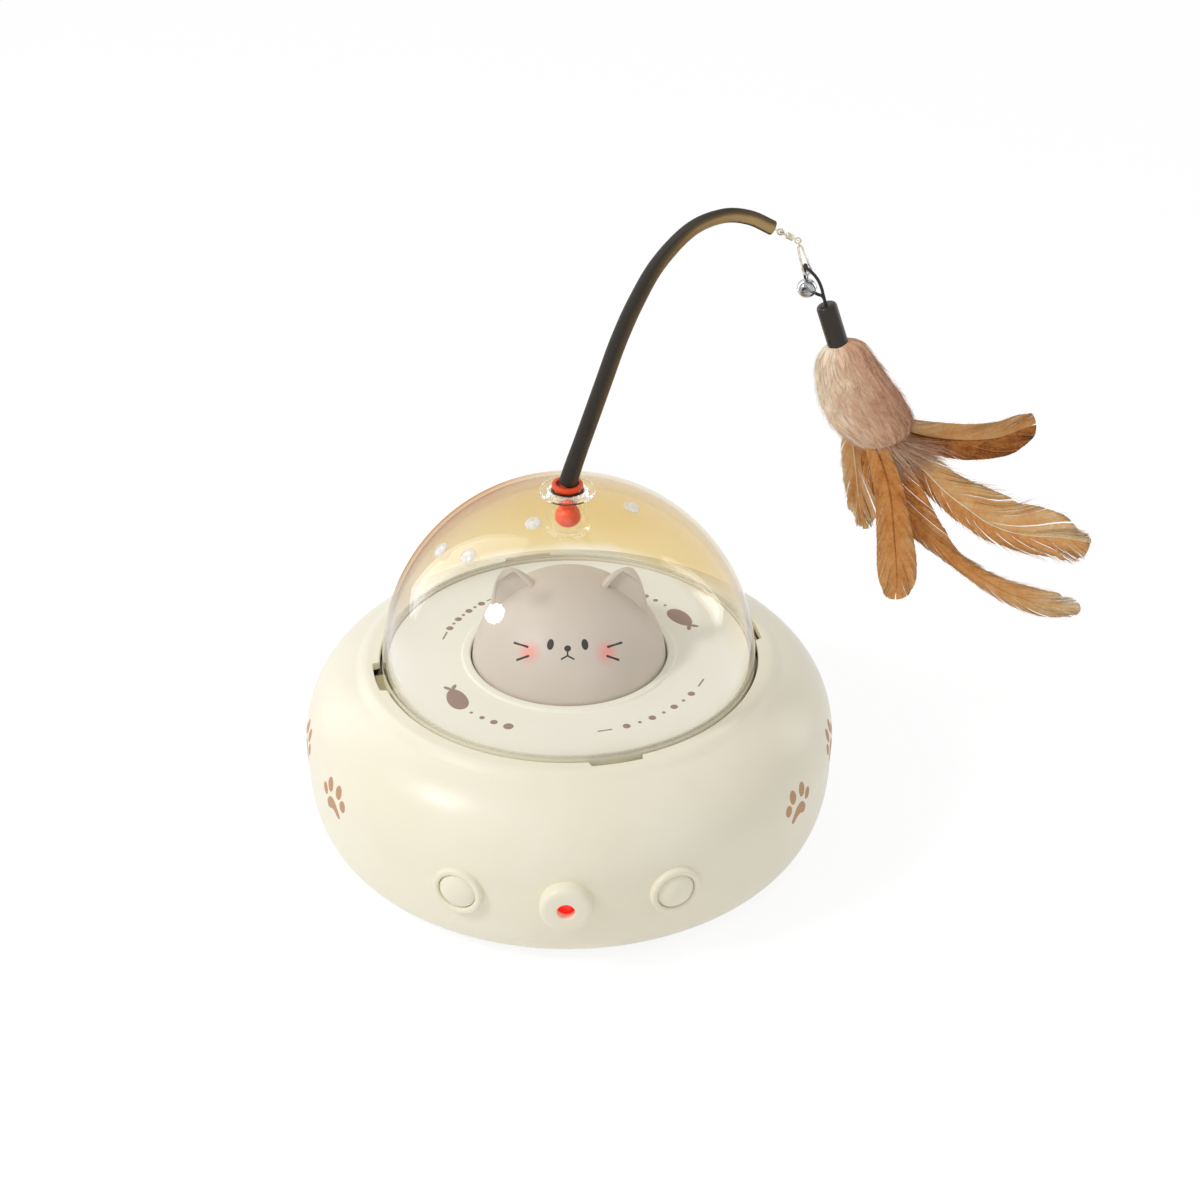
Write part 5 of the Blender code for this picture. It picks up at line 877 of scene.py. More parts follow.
def pad_skin(outline, place):
    """A thin closed pad under an outline round its own middle: rings at shares r of the outline,
    lifted to half the thickness times the square root of 1 - r^6, above and then below."""
    middle = outline.mean(0)
    share = np.array([0.03, 0.25, 0.45, 0.65, 0.82, 0.94, 1.0])
    share = np.concatenate([share, share[-2::-1]])
    lift = PRINT_THICKNESS / 2 * np.sqrt(1 - share ** 6) * np.where(np.arange(len(share)) < 7, 1, -1)
    flat = middle + (outline - middle)[None] * share[:, None, None]
    count = len(outline)
    return closed_skin(place(flat.reshape(-1, 2), np.repeat(lift, count)).reshape(len(share), count, 3))


def oval(half_width, half_height, middle=(0.0, 0.0), lean=0.0, count=40):
    """An ellipse, leaned by some degrees."""
    t = around(count)
    return leaned(np.stack([half_width * np.cos(t), half_height * np.sin(t)], 1), lean) + middle


def stroke(start, end, half_width):
    """The outline of a straight stroke with round ends."""
    start, end = np.array(start), np.array(end)
    way = unit(end - start)
    t = around(36)[:, None]
    round_end = half_width * (np.cos(t) * way + np.sin(t) * np.array([-way[1], way[0]]))
    return np.where(np.cos(t) > 0, end, start) + round_end


# Finishes of this toy by name; the record's slots use these names too

PLASTICS = {
    "cream_plastic": ((245, 239, 218), (242, 235, 212), 0.31, 2400.0, 0.000008),
    "disc_plastic": ((251, 248, 234), (248, 244, 228), 0.5, 2600.0, 0.000014),
    # The lugs' olive is painted shade: it stands in for the shaded notch seen through the clear lugs
    "lug_painted_shade": ((206, 198, 152), (178, 168, 120), 0.2, 2400.0, 0.000008),
    "orange_rubber": ((244, 88, 40), (234, 76, 30), 0.38, 2200.0, 0.00001),
    "black_rubber": ((50, 41, 29), (42, 35, 26), 0.3, 2200.0, 0.00001),
    "white_plastic": ((232, 232, 228), (224, 224, 219), 0.42, 2000.0, 0.00001),
    "dark_plastic": ((52, 52, 55), (42, 42, 45), 0.45, 1800.0, 0.00002),
    "grey_rubber": ((160, 157, 152), (146, 143, 138), 0.75, 1500.0, 0.00003),
    "red_wire": ((190, 36, 28), (170, 28, 22), 0.4, 1800.0, 0.00001),
}
METALS = {
    "steel": ((0.5, 0.49, 0.47, 1.0), (0.3, 0.29, 0.28, 1.0), 0.12, 300.0),
    "warm_nickel": ((0.86, 0.8, 0.66, 1.0), (0.34, 0.28, 0.19, 1.0), 0.2, 500.0),
    # The bell's near-black second colour is painted: patches of dark reflection on the silver
    "bell_silver_painted_reflections": ((0.6, 0.6, 0.63, 1.0), (0.02, 0.02, 0.02, 1.0), 0.08, 430.0),
    "brass": (srgb(214, 176, 102), srgb(150, 112, 60), 0.28, 260.0),
}
INKS = {
    "brown_ink": ((164, 136, 122), (152, 124, 110)),
    "tan_ink": ((198, 154, 116), (188, 144, 106)),
    "black_ink": ((24, 18, 18), (16, 12, 12)),
}
FINISHES = {name: moulded(name, *look) for name, look in PLASTICS.items()}
FINISHES.update({name: metal(name, *look) for name, look in METALS.items()})
FINISHES.update({name: printed_ink(name, *look) for name, look in INKS.items()})
FINISHES.update({
    "head_plastic": head_finish(), "clear_wall": clear_wall(), "clear_plastic": clear_cup(),
    "pip_painted_highlight": pip_painted_highlight(), "wand_rubber": wand_painted_sheen(), "black_elastic": braid_finish(),
    "red_lens": lens_painted_glow(), "board_green": board_finish(), "cell_wrap": wrapped_cell(),
    "feather": plumage("golden_barbs", [
        (0.0, (126, 74, 34)), (0.22, (208, 130, 60)), (0.45, (226, 164, 98)), (0.68, (232, 192, 136)),
        (1.0, (252, 242, 210))], 0.2),
    "fluff": plumage("pale_down", [
        (0.0, (200, 148, 116)), (0.3, (232, 186, 152)), (0.6, (248, 220, 190)), (1.0, (255, 248, 226))],
        0.06),
})


def finish_cad_nodes():
    """Every CAD node gets the finish of its slot in the record."""
    for row in frame["record"]["subparts"]:
        node = frame["nodes"][row["node"]]
        node.data.materials.clear()
        node.data.materials.append(FINISHES[row["material_slot"]])


# Casing


def casing_profile():
    """The casing's wall, over the soft ridge round the recess, down the side and back inside."""
    t = np.linspace(math.pi / 2, 0.0, 46)
    upper = np.stack([CROWN_RADIUS + (BASE_RADIUS - CROWN_RADIUS) * np.cos(t) ** (2 / UPPER_POWER),
                      WIDEST_HEIGHT + (RIM_HEIGHT - WIDEST_HEIGHT) * np.sin(t) ** (2 / UPPER_POWER)], 1)
    upper = upper[upper[:, 0] > 0.0812]
    t = np.linspace(0.0, math.pi / 2, 40)[1:]
    spread = np.clip(np.cos(t), 0, 1) ** (2 / LOWER_POWER)
    lower = np.stack([FLAT_RADIUS + (BASE_RADIUS - FLAT_RADIUS) * spread,
                      WIDEST_HEIGHT - (WIDEST_HEIGHT - BASE_UNDERSIDE) * np.sin(t) ** (2 / LOWER_POWER)], 1)
    ridge = rounded([
        (RECESS_RADIUS, 0.0668), (RECESS_RADIUS, RIM_HEIGHT), (0.0762, RIM_HEIGHT - 0.0001),
        (0.0796, 0.06705), tuple(upper[0]),
    ], [0.0, 0.0007, 0.0017, 0.0015, 0.0], 9, closed=False)
    side = np.vstack([upper, lower])[::-1][2:]
    inner = np.stack([side[:, 0] * (1 - BASE_WALL / BASE_RADIUS),
                      side[:, 1] + BASE_WALL * (0.5 - side[:, 1] / RIM_HEIGHT)], 1)
    inner = inner[(inner[:, 0] > 0.0795) & (inner[:, 1] > 0.004)]
    floor_low = FLOOR_TOP - BASE_WALL
    closing = [(0.077, 0.0645), (0.077, floor_low), (FLOOR_INNER_RADIUS, floor_low),
               (FLOOR_INNER_RADIUS, FLOOR_TOP), (CHANNEL_RADIUS, FLOOR_TOP), (CHANNEL_RADIUS, 0.0668)]
    edge = FLAT_RADIUS - BASE_WALL
    foot = [(edge, BASE_UNDERSIDE), (edge, COVER_TOP)]
    return np.vstack([ridge, upper[1:], lower, foot, inner, closing])


def notched_angles():
    """Angles round the casing, closer together at the ends of the four notches."""
    even = np.linspace(0.0, 360.0, 240, endpoint=False)
    ends = LUG_ANGLE + 90.0 * np.arange(4)[:, None, None] + np.array([-1, 1])[None, :, None] * (
        NOTCH_HALF_ANGLE + np.linspace(-0.9, 0.9, 9)[None, None, :])
    return np.unique(np.round(np.concatenate([even, (ends % 360.0).ravel()]), 3))


def rod(radius, high, low):
    """The profile of a plain round rod."""
    return [(0.0, high), (radius, high), (radius, low), (0.0, low)]


def casing():
    """The casing turned round its axis; near the recess its radius grows by the notch's depth where
    the angle lies inside one of the four notches, with soft ends."""
    profile = casing_profile()
    degrees = notched_angles()
    from_notch = np.abs((degrees - LUG_ANGLE + 45.0) % 90.0 - 45.0)
    share = np.clip((NOTCH_HALF_ANGLE + 0.45 - from_notch) / 0.9, 0.0, 1.0)
    depth = NOTCH_DEPTH * share ** 2 * (3 - 2 * share)
    lip = (profile[:, 1] > 0.0666) & (profile[:, 0] < CHANNEL_RADIUS)
    near = np.clip((CHANNEL_RADIUS - profile[:, 0]) / (CHANNEL_RADIUS - RECESS_RADIUS), 0, 1)
    radius = profile[:, :1] + np.where(lip, near, 0)[:, None] * depth[None]
    angle = np.radians(degrees)
    grid = np.stack([radius * np.cos(angle), radius * np.sin(angle), profile[:, 1:] + 0 * angle], -1)
    shell = solid("casing", [closed_skin(grid, closed_rows=True)])
    cutters = []
    for spread, stem in ((-BUTTON_SPREAD, BEZEL_STEM_RADIUS), (BUTTON_SPREAD, BEZEL_STEM_RADIUS),
                         (0.0, BOSS_STEM_RADIUS)):
        place = outward(FRONT_ANGLE + spread, FRONT_HEIGHT)
        cutters.append(solid("front_hole", [turned_skin(rod(stem + GAP, 0.105, 0.09), place, 64)]))
    low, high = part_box("usb_port")
    width, middle = high - low, (low + high) / 2
    slot = soft_box_skin((width.x + 2 * GAP, 0.02, width.z + 2 * GAP),
                         Matrix.Translation((middle.x, BASE_RADIUS, middle.z)))
    cutters.append(solid("port_slot", [slot]))
    fitted(combined(shell, cutters, "DIFFERENCE"), "base", "cream_plastic", ["base_shell"], 32.0)

    column = rounded([(0.0, 0.0502), (0.004, 0.0502), (0.004, COVER_TOP + GAP), (0.0012, COVER_TOP + GAP),
                      (0.0012, 0.0145), (0.0, 0.0145)], 0.0002, 4, closed=False)
    boss = rounded(rod(0.0032, 0.057, 0.0521), 0.0003, 4, closed=False)
    inside = [turned_skin(column, on_circle(COLUMN_CIRCLE, 45.0 + 90.0 * i), 32) for i in range(4)]
    inside += [turned_skin(boss, on_circle(BOSS_CIRCLE, 90.0 + 120.0 * i), 32) for i in range(3)]
    piece("casing_columns", inside, "base", "cream_plastic")


def button(side, spread):
    """The bezel ring in the casing and the domed cap in it."""
    place = outward(FRONT_ANGLE + spread, FRONT_HEIGHT)
    face = BASE_RADIUS + GAP
    top = face + 0.0017
    ring = rounded([
        (0.0070, 0.0936), (0.0070, top), (BEZEL_RADIUS, top), (BEZEL_RADIUS, face - 0.0024),
        (BEZEL_STEM_RADIUS, face - 0.0024), (BEZEL_STEM_RADIUS, 0.0936),
    ], [0.0001, 0.0010, 0.0013, 0.0001, 0.0001, 0.0001])
    piece(f"button_ring_{side}", [turned_skin(ring, place, 96)], "base", "cream_plastic",
          [f"button_bezel_{side}"])
    crown = face + 0.0030
    edge = face + 0.0002
    rim = CAP_RADIUS + 0.00022
    t = np.sin(np.linspace(0.0, math.pi / 2, 28))
    domed = np.stack([rim * t, edge + (crown - edge) * (1 - t ** 2) ** 0.62], 1)
    below = rounded([
        tuple(domed[-1]), (rim, 0.0933), (CAP_FLANGE_RADIUS, 0.0933), (CAP_FLANGE_RADIUS, 0.0921),
        (0.0020, 0.0921), (0.0020, 0.0897), (0.0, 0.0897),
    ], 0.0002, 4, closed=False)
    piece(f"button_dome_{side}", [turned_skin(np.vstack([domed, below[1:]]), place, 96)],
          f"button_{side}", "cream_plastic", [f"button_cap_{side}"])


def light_spot():
    """The round boss with its bored hole, and the red lens at the hole's bottom."""
    place = outward(FRONT_ANGLE, FRONT_HEIGHT)
    top = BASE_RADIUS + 0.0050
    step = top - 0.0027
    boss = rounded([
        (BOSS_BORE, step), (BOSS_BORE, top), (BOSS_RADIUS, top), (BOSS_RADIUS, BASE_RADIUS - 0.0012),
        (BOSS_STEM_RADIUS, BASE_RADIUS - 0.0012), (BOSS_STEM_RADIUS, 0.0938), (0.0033, 0.0938),
        (0.0033, step),
    ], [0.0002, 0.0005, 0.0024] + [0.0001] * 5, 10)
    piece("light_boss", [turned_skin(boss, place, 96)], "base", "cream_plastic", ["laser_boss"])
    lens = rounded([(0.0, step), (LENS_RADIUS, step - 0.0002), (LENS_RADIUS, step - 0.0008),
                    (0.0, step - 0.0008)], 0.0002, 6, closed=False)
    piece("light_lens", [turned_skin(lens, place, 64)], "base", "red_lens", ["laser_lens"])


def paw_skins(azimuth, height, hand):
    """One paw print: four oval toes in an arc and a pad with a tail, mirrored by its hand."""
    outlines = [
        oval(0.0018, 0.0024, (-0.0064, 0.0004), 14.0), oval(0.0020, 0.0028, (-0.0027, 0.0041), 6.0),
        oval(0.0020, 0.0028, (0.0036, 0.0042), -6.0), oval(0.0019, 0.0025, (0.0069, 0.0002), -14.0),
        route(np.array([
            (-5.2, -5.4), (-5.3, -4.3), (-4.5, -2.8), (-3.2, -1.3), (-1.6, -0.4), (0.3, -0.5),
            (1.8, -1.4), (3.0, -3.0), (4.2, -4.6), (4.7, -6.0), (4.0, -7.1), (2.8, -7.0), (1.5, -6.0),
            (-0.2, -5.4), (-1.9, -5.6), (-3.3, -6.4), (-4.6, -6.5), (-5.2, -5.5),
        ]) / 1000, 60, 2),
    ]
    return [pad_skin(outline * np.array([hand, 1.0]), on_casing(azimuth, height)) for outline in outlines]


def paws():
    """The trail of paw prints round the sides and the back of the casing."""
    skins = paw_skins(*LEFT_PAW, 1) + paw_skins(*RIGHT_PAW, -1)
    for i, azimuth in enumerate(np.linspace(79.0, 281.0, 10)):
        height = TRAIL_HEIGHTS[0 if i % 2 == 0 or i == 9 else 1]
        skins += paw_skins(azimuth, height, -1 if azimuth < 180 else 1)
    piece("paw_prints", skins, "base", "tan_ink")


# Turntable


def disc():
    """The disc with its raised lip, skirt, flange, sleeve and hub."""
    profile = rounded([
        (DISC_HOLE_RADIUS, 0.0609), (DISC_HOLE_RADIUS, 0.0703), (0.0399, 0.0703), (0.0402, DISC_TOP),
        (DISC_RADIUS, DISC_TOP), (DISC_RADIUS, 0.060), (FLANGE_RADIUS, 0.060), (FLANGE_RADIUS, 0.058),
        (0.0662, 0.058), (0.0662, 0.0675), (0.0389, 0.0675), (0.0389, 0.0589), (0.019, 0.0589),
        (0.019, 0.0543), (0.016, 0.0543), (0.016, 0.0615), (0.019, 0.0615), (0.019, 0.0609),
    ], [0.0002, 0.0008, 0.0010, 0.0010, 0.0007, 0.0004] + [0.0003] * 12)
    skins = [turned_skin(profile)]
    skins += [soft_box_skin((0.0026, 0.004, 0.002), facing_out(0.0682, LUG_ANGLE + 45.0 + 90.0 * i, 0.0604),
                            0.2, 12) for i in range(4)]
    piece("disc", skins, "turntable", "disc_plastic", ["turntable_disc"], 50.0)


def dot_skin(size, azimuth, radius):
    """A round printed dot on the disc."""
    return pad_skin(oval(size, size), on_disc(azimuth, radius))


def fish_skins(azimuth, radius, turn):
    """A small fish: an egg-shaped body and a forked tail of two leaves."""
    body = oval(0.0068, 0.0037, count=60)
    body[:, 1] *= 1 + 0.12 * body[:, 0] / 0.0068
    tail = [oval(0.0018, 0.0008, (-0.0079, side * 0.0012), side * -36.0) for side in (1, -1)]
    return [pad_skin(outline, on_disc(azimuth, radius, turn)) for outline in [body] + tail]


def disc_prints():
    """Fish with trails of growing dots, and two rows of plain dashes and dots between them."""
    skins = []
    for fish, radius, turn, dots, dot_radius in (
            (-51.6, 0.0512, 18.0, (-40.6, -35.1, -29.5, -23.2), 0.0531),
            (119.5, 0.0487, -3.0, (131.6, 137.6, 143.4, 149.9), 0.0494)):
        skins += fish_skins(fish, radius, turn)
        skins += [dot_skin(size, azimuth, dot_radius) for azimuth, size in zip(dots, DOT_SIZES)]
    dash = stroke((-0.0024, 0.0), (0.0024, 0.0), 0.00035)
    for middle, radius, half in ((40.6, 0.0530, 26.0), (-122.0, 0.0485, 19.0)):
        skins += [pad_skin(dash, on_disc(middle + end * half, radius)) for end in (-1, 1)]
        places = np.linspace(middle - half * 0.66, middle + half * 0.66, 7)
        skins += [dot_skin(0.0007 if i % 2 else 0.0014, azimuth, radius) for i, azimuth in enumerate(places)]
    piece("disc_prints", skins, "turntable", "brown_ink")


# Head


def head():
    """A hollow half ball that runs down into a short round collar."""
    t = np.linspace(0.0, math.pi / 2, 48)
    inner = HEAD_RADIUS - HEAD_WALL
    outside, inside = (np.stack([radius * np.sin(t), HEAD_CENTRE[2] + radius * np.cos(t)], 1)
                       for radius in (HEAD_RADIUS, inner))
    return turned_skin(np.vstack([outside, [(HEAD_RADIUS, HEAD_BOTTOM), (inner, HEAD_BOTTOM)], inside[::-1]]))


def ear_skin(side):
    """An ear: D-shaped sections along a line from root to tip, half width W (1-u)^0.55, with a flat
    sunk front that faces a little towards the head's middle, and a round back."""
    reach = np.array([0.0096, 0.0300])
    rise = np.sqrt(HEAD_RADIUS ** 2 - reach ** 2) - 0.0045
    roots = np.stack([side * reach, 0 * reach, HEAD_CENTRE[2] + rise], 1)
    root = roots.mean(0)
    half = (roots[1] - roots[0]) / 2
    tip = np.array([side * 0.0236, 0.0, 0.1054])
    u = (1 - (1 - np.linspace(0.0, 1.0, 44)) ** 1.7)[:-1, None, None]
    v = around(96)[None, :, None]
    width = (1 - u) ** 0.55
    depth = 0.010 * (0.12 + 0.88 * (1 - u) ** 0.8)
    across = np.sign(np.cos(v)) * np.abs(np.cos(v)) ** 0.8
    back = np.clip(np.sin(v), 0, 1) ** 0.75 * 0.65
    front = -np.clip(-np.sin(v), 0, 1) ** 0.2 * 0.35
    inside = np.clip((0.84 - np.abs(across)) / 0.1, 0, 1) * np.clip(-np.sin(v) * 4, 0, 1)
    inside = inside * np.clip((0.86 - u) / 0.08, 0, 1)
    sunk = inside ** 2 * (3 - 2 * inside) * (0.0012 - 0.0018 * across * width)
    y = depth * (back + front) + sunk
    return closed_skin(root + (tip - root) * u + half * width * across + y * np.array([0.0, 1.0, 0.0]))


def cat_head():
    """The head with both ears joined on, and its face in printed ink: eyes, mouth, whiskers, nose."""
    ears = [solid("ear_tool", [ear_skin(side)]) for side in (-1, 1)]
    shell = combined(solid("cat_head_shell", [head()]), ears, "UNION")
    fitted(shell, "base", "head_plastic", ["cat_head"], 34.0)
    mouth = on_head(0.0, MOUTH_LATITUDE)
    skins = []
    for side in (-1, 1):
        skins.append(pad_skin(oval(0.00125, 0.0020), on_head(side * EYE[0], EYE[1])))
        skins.append(pad_skin(stroke((0.0, 0.0), (side * 0.0022, -0.0012), 0.0003), mouth))
        for x, y, azimuth, latitude in ((0.0029, -0.0002, 36.0, 37.7), (0.00196, -0.0013, 31.4, 31.0)):
            whisker = stroke((side * x, y), (side * -x, -y), 0.00044)
            skins.append(pad_skin(whisker, on_head(side * azimuth, latitude)))
    skins.append(pad_skin(oval(0.00122, 0.00112), on_head(0.0, NOSE_LATITUDE)))
    skins.append(pad_skin(stroke((0.0, 0.0), (0.0, 0.0022), 0.0003), mouth))
    piece("face_prints", skins, "base", "black_ink")


# Dome and socket


def dome():
    """The clear half ball with a round hole for the socket, its foot, its four lugs and its pips."""
    inner = DOME_RADIUS - DOME_WALL
    centre = DOME_CENTRE[2]

    def arc(radius):
        t = np.linspace(math.asin((SOCKET_RADIUS + GAP) / radius), math.pi / 2, 72)
        return np.stack([radius * np.sin(t), centre + radius * np.cos(t)], 1)

    outside = arc(DOME_RADIUS)
    foot = rounded([tuple(outside[-1]), (DOME_RADIUS, DOME_BOTTOM), (inner, DOME_BOTTOM), (inner, centre)],
                   0.0004, 5, closed=False)
    profile = np.vstack([outside, foot[1:-1], arc(inner)[::-1]])
    piece("dome_shell", [turned_skin(profile)], "dome_cover", "clear_wall", ["dome"], 50.0)
    # The lugs carry a painted olive shade of the notch, which shows through the real clear lugs
    lugs = [soft_box_skin(LUG_SIZE, facing_out(LUG_CIRCLE, LUG_ANGLE + 90.0 * i, LUG_HEIGHT))
            for i in range(4)]
    piece("dome_lugs", lugs, "dome_cover", "lug_painted_shade")

    t = np.linspace(0.0, math.pi / 2, 14)
    cap = np.stack([0.0031 * np.sin(t), -0.0003 + 0.0013 * np.cos(t)], 1)
    pip = np.vstack([cap, [(0.0027, -0.0006), (0.0, -0.0006)]])
    pips = []
    for middle in PIP_PLACES:
        way = (Vector(middle) / 1000 - Vector(DOME_CENTRE)).normalized()
        place = Matrix.Translation(Vector(DOME_CENTRE) + way * DOME_RADIUS)
        pips.append(turned_skin(pip, place @ way.to_track_quat("Z", "Y").to_matrix().to_4x4(), 40))
    # The pips carry painted white highlights
    piece("dome_pips", pips, "dome_cover", "pip_painted_highlight")


def socket():
    """The thick clear cup with its round flange."""
    profile = rounded([
        (0.0, 0.1230), (0.0051, 0.1230), (0.0051, 0.1366), (0.0066, 0.1366), (0.0066, SOCKET_TOP),
        (0.0100, SOCKET_TOP), (0.0100, 0.1370), (SOCKET_RADIUS, 0.1370), (SOCKET_RADIUS, 0.1210),
        (0.0, 0.1210),
    ], [0.0, 0.0010, 0.0003, 0.0003, 0.0004, 0.0010, 0.0009, 0.0003, 0.0022, 0.0], 8, closed=False)
    piece("socket_cup", [turned_skin(profile, None, 128)], "dome_cover", "clear_plastic",
          ["wand_socket"], 60.0)


def plug():
    """The orange plug: a flange with a hole for the wand, a bulge, a waist and a ball end; and the
    dark ring under the flange."""
    top = PLUG_LOW + 0.0018
    t = np.linspace(-0.95, math.pi / 2, 16)
    ball = np.stack([0.0047 * np.cos(t), PLUG_LOW - 0.0111 - 0.0044 * np.sin(t)], 1)
    ball[-1, 0] = 0.0
    upper = rounded([
        (0.0, top - 0.0016), (0.0041, top - 0.0016), (0.0041, top), (0.00565, top), (0.00565, PLUG_LOW),
        (0.0036, PLUG_LOW), (0.00415, PLUG_LOW - 0.0013), (0.00415, PLUG_LOW - 0.0040),
        (0.0028, PLUG_LOW - 0.0072), tuple(ball[0]),
    ], [0, 0.0002, 0.0004, 0.0006, 0.0006, 0.0003, 0.0006, 0.0012, 0.0008, 0.0], closed=False)
    piece("plug_body", [turned_skin(np.vstack([upper, ball[1:]]), None, 96)], "wand", "orange_rubber",
          ["wand_plug"], 60.0)
    angle = around(24)
    ring = np.stack([0.0053 + 0.0007 * np.cos(angle), SOCKET_TOP - 0.0010 + 0.0007 * np.sin(angle)], 1)
    piece("plug_ring", [turned_skin(ring, None, 96)], "wand", "black_rubber", ["plug_seal"])


# Wand, swivel, snap and bell


def wand_path(count=160):
    """The wand's middle line from the plug to its tip."""
    shares = np.array(WAND_ROUTE)
    knots = np.stack([WAND_REACH * shares[:, 0], 0 * shares[:, 0], WAND_FOOT + WAND_RISE * shares[:, 1]], 1)
    return route(knots, count)


def coarse_way():
    """The end of the CAD wand and the way that its last stretch points."""
    path = wand_path(25)
    return path[-1], unit(path[-1] - path[-2])


def wire_eye():
    """The middle of the eye on the tip wire."""
    end, way = coarse_way()
    return end + way * (GAP + STEM_LENGTH + EYE_RADIUS)


def wand():
    """The bent rubber tube and the steel wire with its eye that comes out of its end. The tone is the
    share of tan, a painted reflection of warm surroundings: on the inner side of the bend along the
    tube, over most of its last stretch."""
    path = wand_path()
    share = np.linspace(0.0, 1.0, len(path))
    radius = WAND_RADIUS * np.interp(share, *np.array(WAND_TAPER).T)
    points, faces = tube_skin(path, radius, sides=48, rounding=0.0007)
    nearest = np.linalg.norm(points[:, None] - path[None], axis=2).argmin(1)
    tangent = unit(np.gradient(path, axis=0))[nearest]
    inner = np.stack([tangent[:, 2], 0 * tangent[:, 2], -tangent[:, 0]], 1)
    turned_in = ((points - path[nearest]) * inner).sum(1) / radius[nearest]
    run = share[nearest]
    low = np.interp(run, [0.0, 0.6, 0.75, 0.9, 1.0], [0.0, -0.1, -0.5, -1.0, -1.2])
    most = np.interp(run, [0.0, 0.6, 0.85, 1.0], [0.4, 0.5, 0.9, 1.0])
    under = np.clip((turned_in - 0.45) / 0.25, 0.0, 1.0) * np.clip((run - 0.86) / 0.06, 0.0, 1.0)
    # The tone is a painted tan reflection of warm surroundings
    tone = np.clip((turned_in - low) / 0.75, 0.0, 1.0) * most * (1 - under)
    piece("wand_sleeve", [(points, faces, tone)], "wand", "wand_rubber", ["wand_tube"])
    end, way = coarse_way()
    stem = np.linspace(end - way * 0.0004, end + way * (STEM_LENGTH + 0.0005), 8)
    piece("wire_eye", [tube_skin(stem, WIRE_RADIUS, sides=14), ring_skin(wire_eye(), (0, 1, 0))], "wand",
          "warm_nickel", ["tip_wire"])


def swivel_points():
    """Along the wand's last way: the swivel's first eye, its barrel's two ends and its second eye."""
    way = coarse_way()[1]
    first = wire_eye() + way * EYE_RADIUS
    start = first + way * (EYE_RADIUS + 0.0005 - WIRE_RADIUS)
    end = start + way * 0.0027
    second = end + way * (EYE_RADIUS + 0.0005 + WIRE_RADIUS)
    return way, first, start, end, second


def snap_points():
    """The snap's way, its eye and the middle of its lower bend."""
    way = leaning(SNAP_LEAN)
    second = swivel_points()[4]
    return way, second + way * EYE_RADIUS, second + way * SNAP_LENGTH


def swivel():
    """Barrel with one eye on each end, the second on its own stem."""
    way, first, start, end, second = swivel_points()
    barrel = rounded([
        (0.0, 0.0015), (0.00065, 0.0015), (0.00065, 0.0027), (0.0011, 0.0027), (0.0011, 0.0),
        (0.0003, 0.0), (0.0003, -0.00065), (0.0, -0.00065),
    ], [0.0, 0.0001, 0.0001, 0.0004, 0.0004, 0.0001, 0.0001, 0.0], 6, closed=False)
    piece("swivel_barrel", [turned_skin(barrel, along(start, way), 40), ring_skin(first, square_to(way))],
          "leader", "warm_nickel", ["barrel_swivel"])
    stem = rounded(rod(0.00035, 0.00095, -0.0009), 0.0001, 4, closed=False)
    piece("swivel_second_eye", [turned_skin(stem, along(end, way), 24), ring_skin(second, (0, 1, 0))],
          "swivel", "warm_nickel", ["swivel_eye"])


def snap():
    """The snap's wire: a long loop of two half turns, and the eye at its top."""
    way, eye, hook = snap_points()
    side = square_to(way)
    top = eye + way * (EYE_RADIUS + SNAP_TOP_RADIUS)
    t = np.linspace(0.0, math.pi, 16)[:, None]
    upper = top + (side * np.cos(t) - way * np.sin(t)) * SNAP_TOP_RADIUS
    lower = hook + (way * np.sin(t) - side * np.cos(t)) * SNAP_BEND_RADIUS
    share = np.linspace(0.0, 1.0, 14)[1:-1, None]
    path = np.vstack([upper, upper[-1] * (1 - share) + lower[0] * share, lower,
                      lower[-1] * (1 - share) + upper[0] * share])
    wire = tube_skin(path, WIRE_RADIUS * 1.35, sides=12, closed=True)
    piece("snap_loop", [wire, ring_skin(eye, side)], "snap", "warm_nickel", ["snap_clasp"])


def bell():
    """A round bell of two halves with a rim between them, a slit underneath and a ring on top."""
    way = leaning(BELL_LEAN)
    ring_centre = snap_points()[2] + way * SNAP_BEND_RADIUS
    centre = ring_centre + way * (SNAP_BEND_RADIUS + BELL_RADIUS)
    t = np.linspace(0.0, math.pi, 65)

    def ball(name, radius, sides):
        profile = np.stack([radius * np.sin(t), radius * np.cos(t)], 1)
        profile[[0, -1], 0] = 0.0
        return solid(name, [turned_skin(profile, along(centre, -way), sides)])

    swell = BELL_RADIUS * (1 + 0.045 * np.exp(-((t - math.pi / 2) / 0.055) ** 2)) - 0.00015
    slit = soft_box_skin((0.0076, 0.0008, 0.0030), along(centre + way * 0.0030, -way), 0.2)
    body = ball("bell_ball", swell, 64)
    cutters = [ball("bell_hollow", BELL_RADIUS - 0.0005, 48), solid("bell_slit", [slit])]
    for end in (-1, 1):
        place = along(centre + way * 0.0029 + np.array((0.0021 * end, 0.0, 0.0)), -way)
        cutters.append(solid("bell_hole", [turned_skin(rod(0.0007, 0.003, -0.003), place, 24)]))
    # The bell's finish carries painted dark reflections
    fitted(combined(body, cutters, "DIFFERENCE"), "jingle_bell", "bell_silver_painted_reflections", ["bell"])
    piece("bell_ring", [ring_skin(ring_centre, square_to(way), SNAP_BEND_RADIUS)], "jingle_bell",
          "bell_silver_painted_reflections")


# Lure


def loop_crown():
    """Where the elastic hangs over the snap's lower bend."""
    return snap_points()[2] + np.array((-0.36, 0.0, 1.14)) * SNAP_BEND_RADIUS


def ferrule_top():
    """The middle of the ferrule's upper end."""
    return loop_crown() + np.array((0.0074, 0.0, -LOOP_DROP))


def ferrule_end():
    """The middle of the ferrule's lower end."""
    return ferrule_top() + leaning(FERRULE_LEAN) * FERRULE_LENGTH


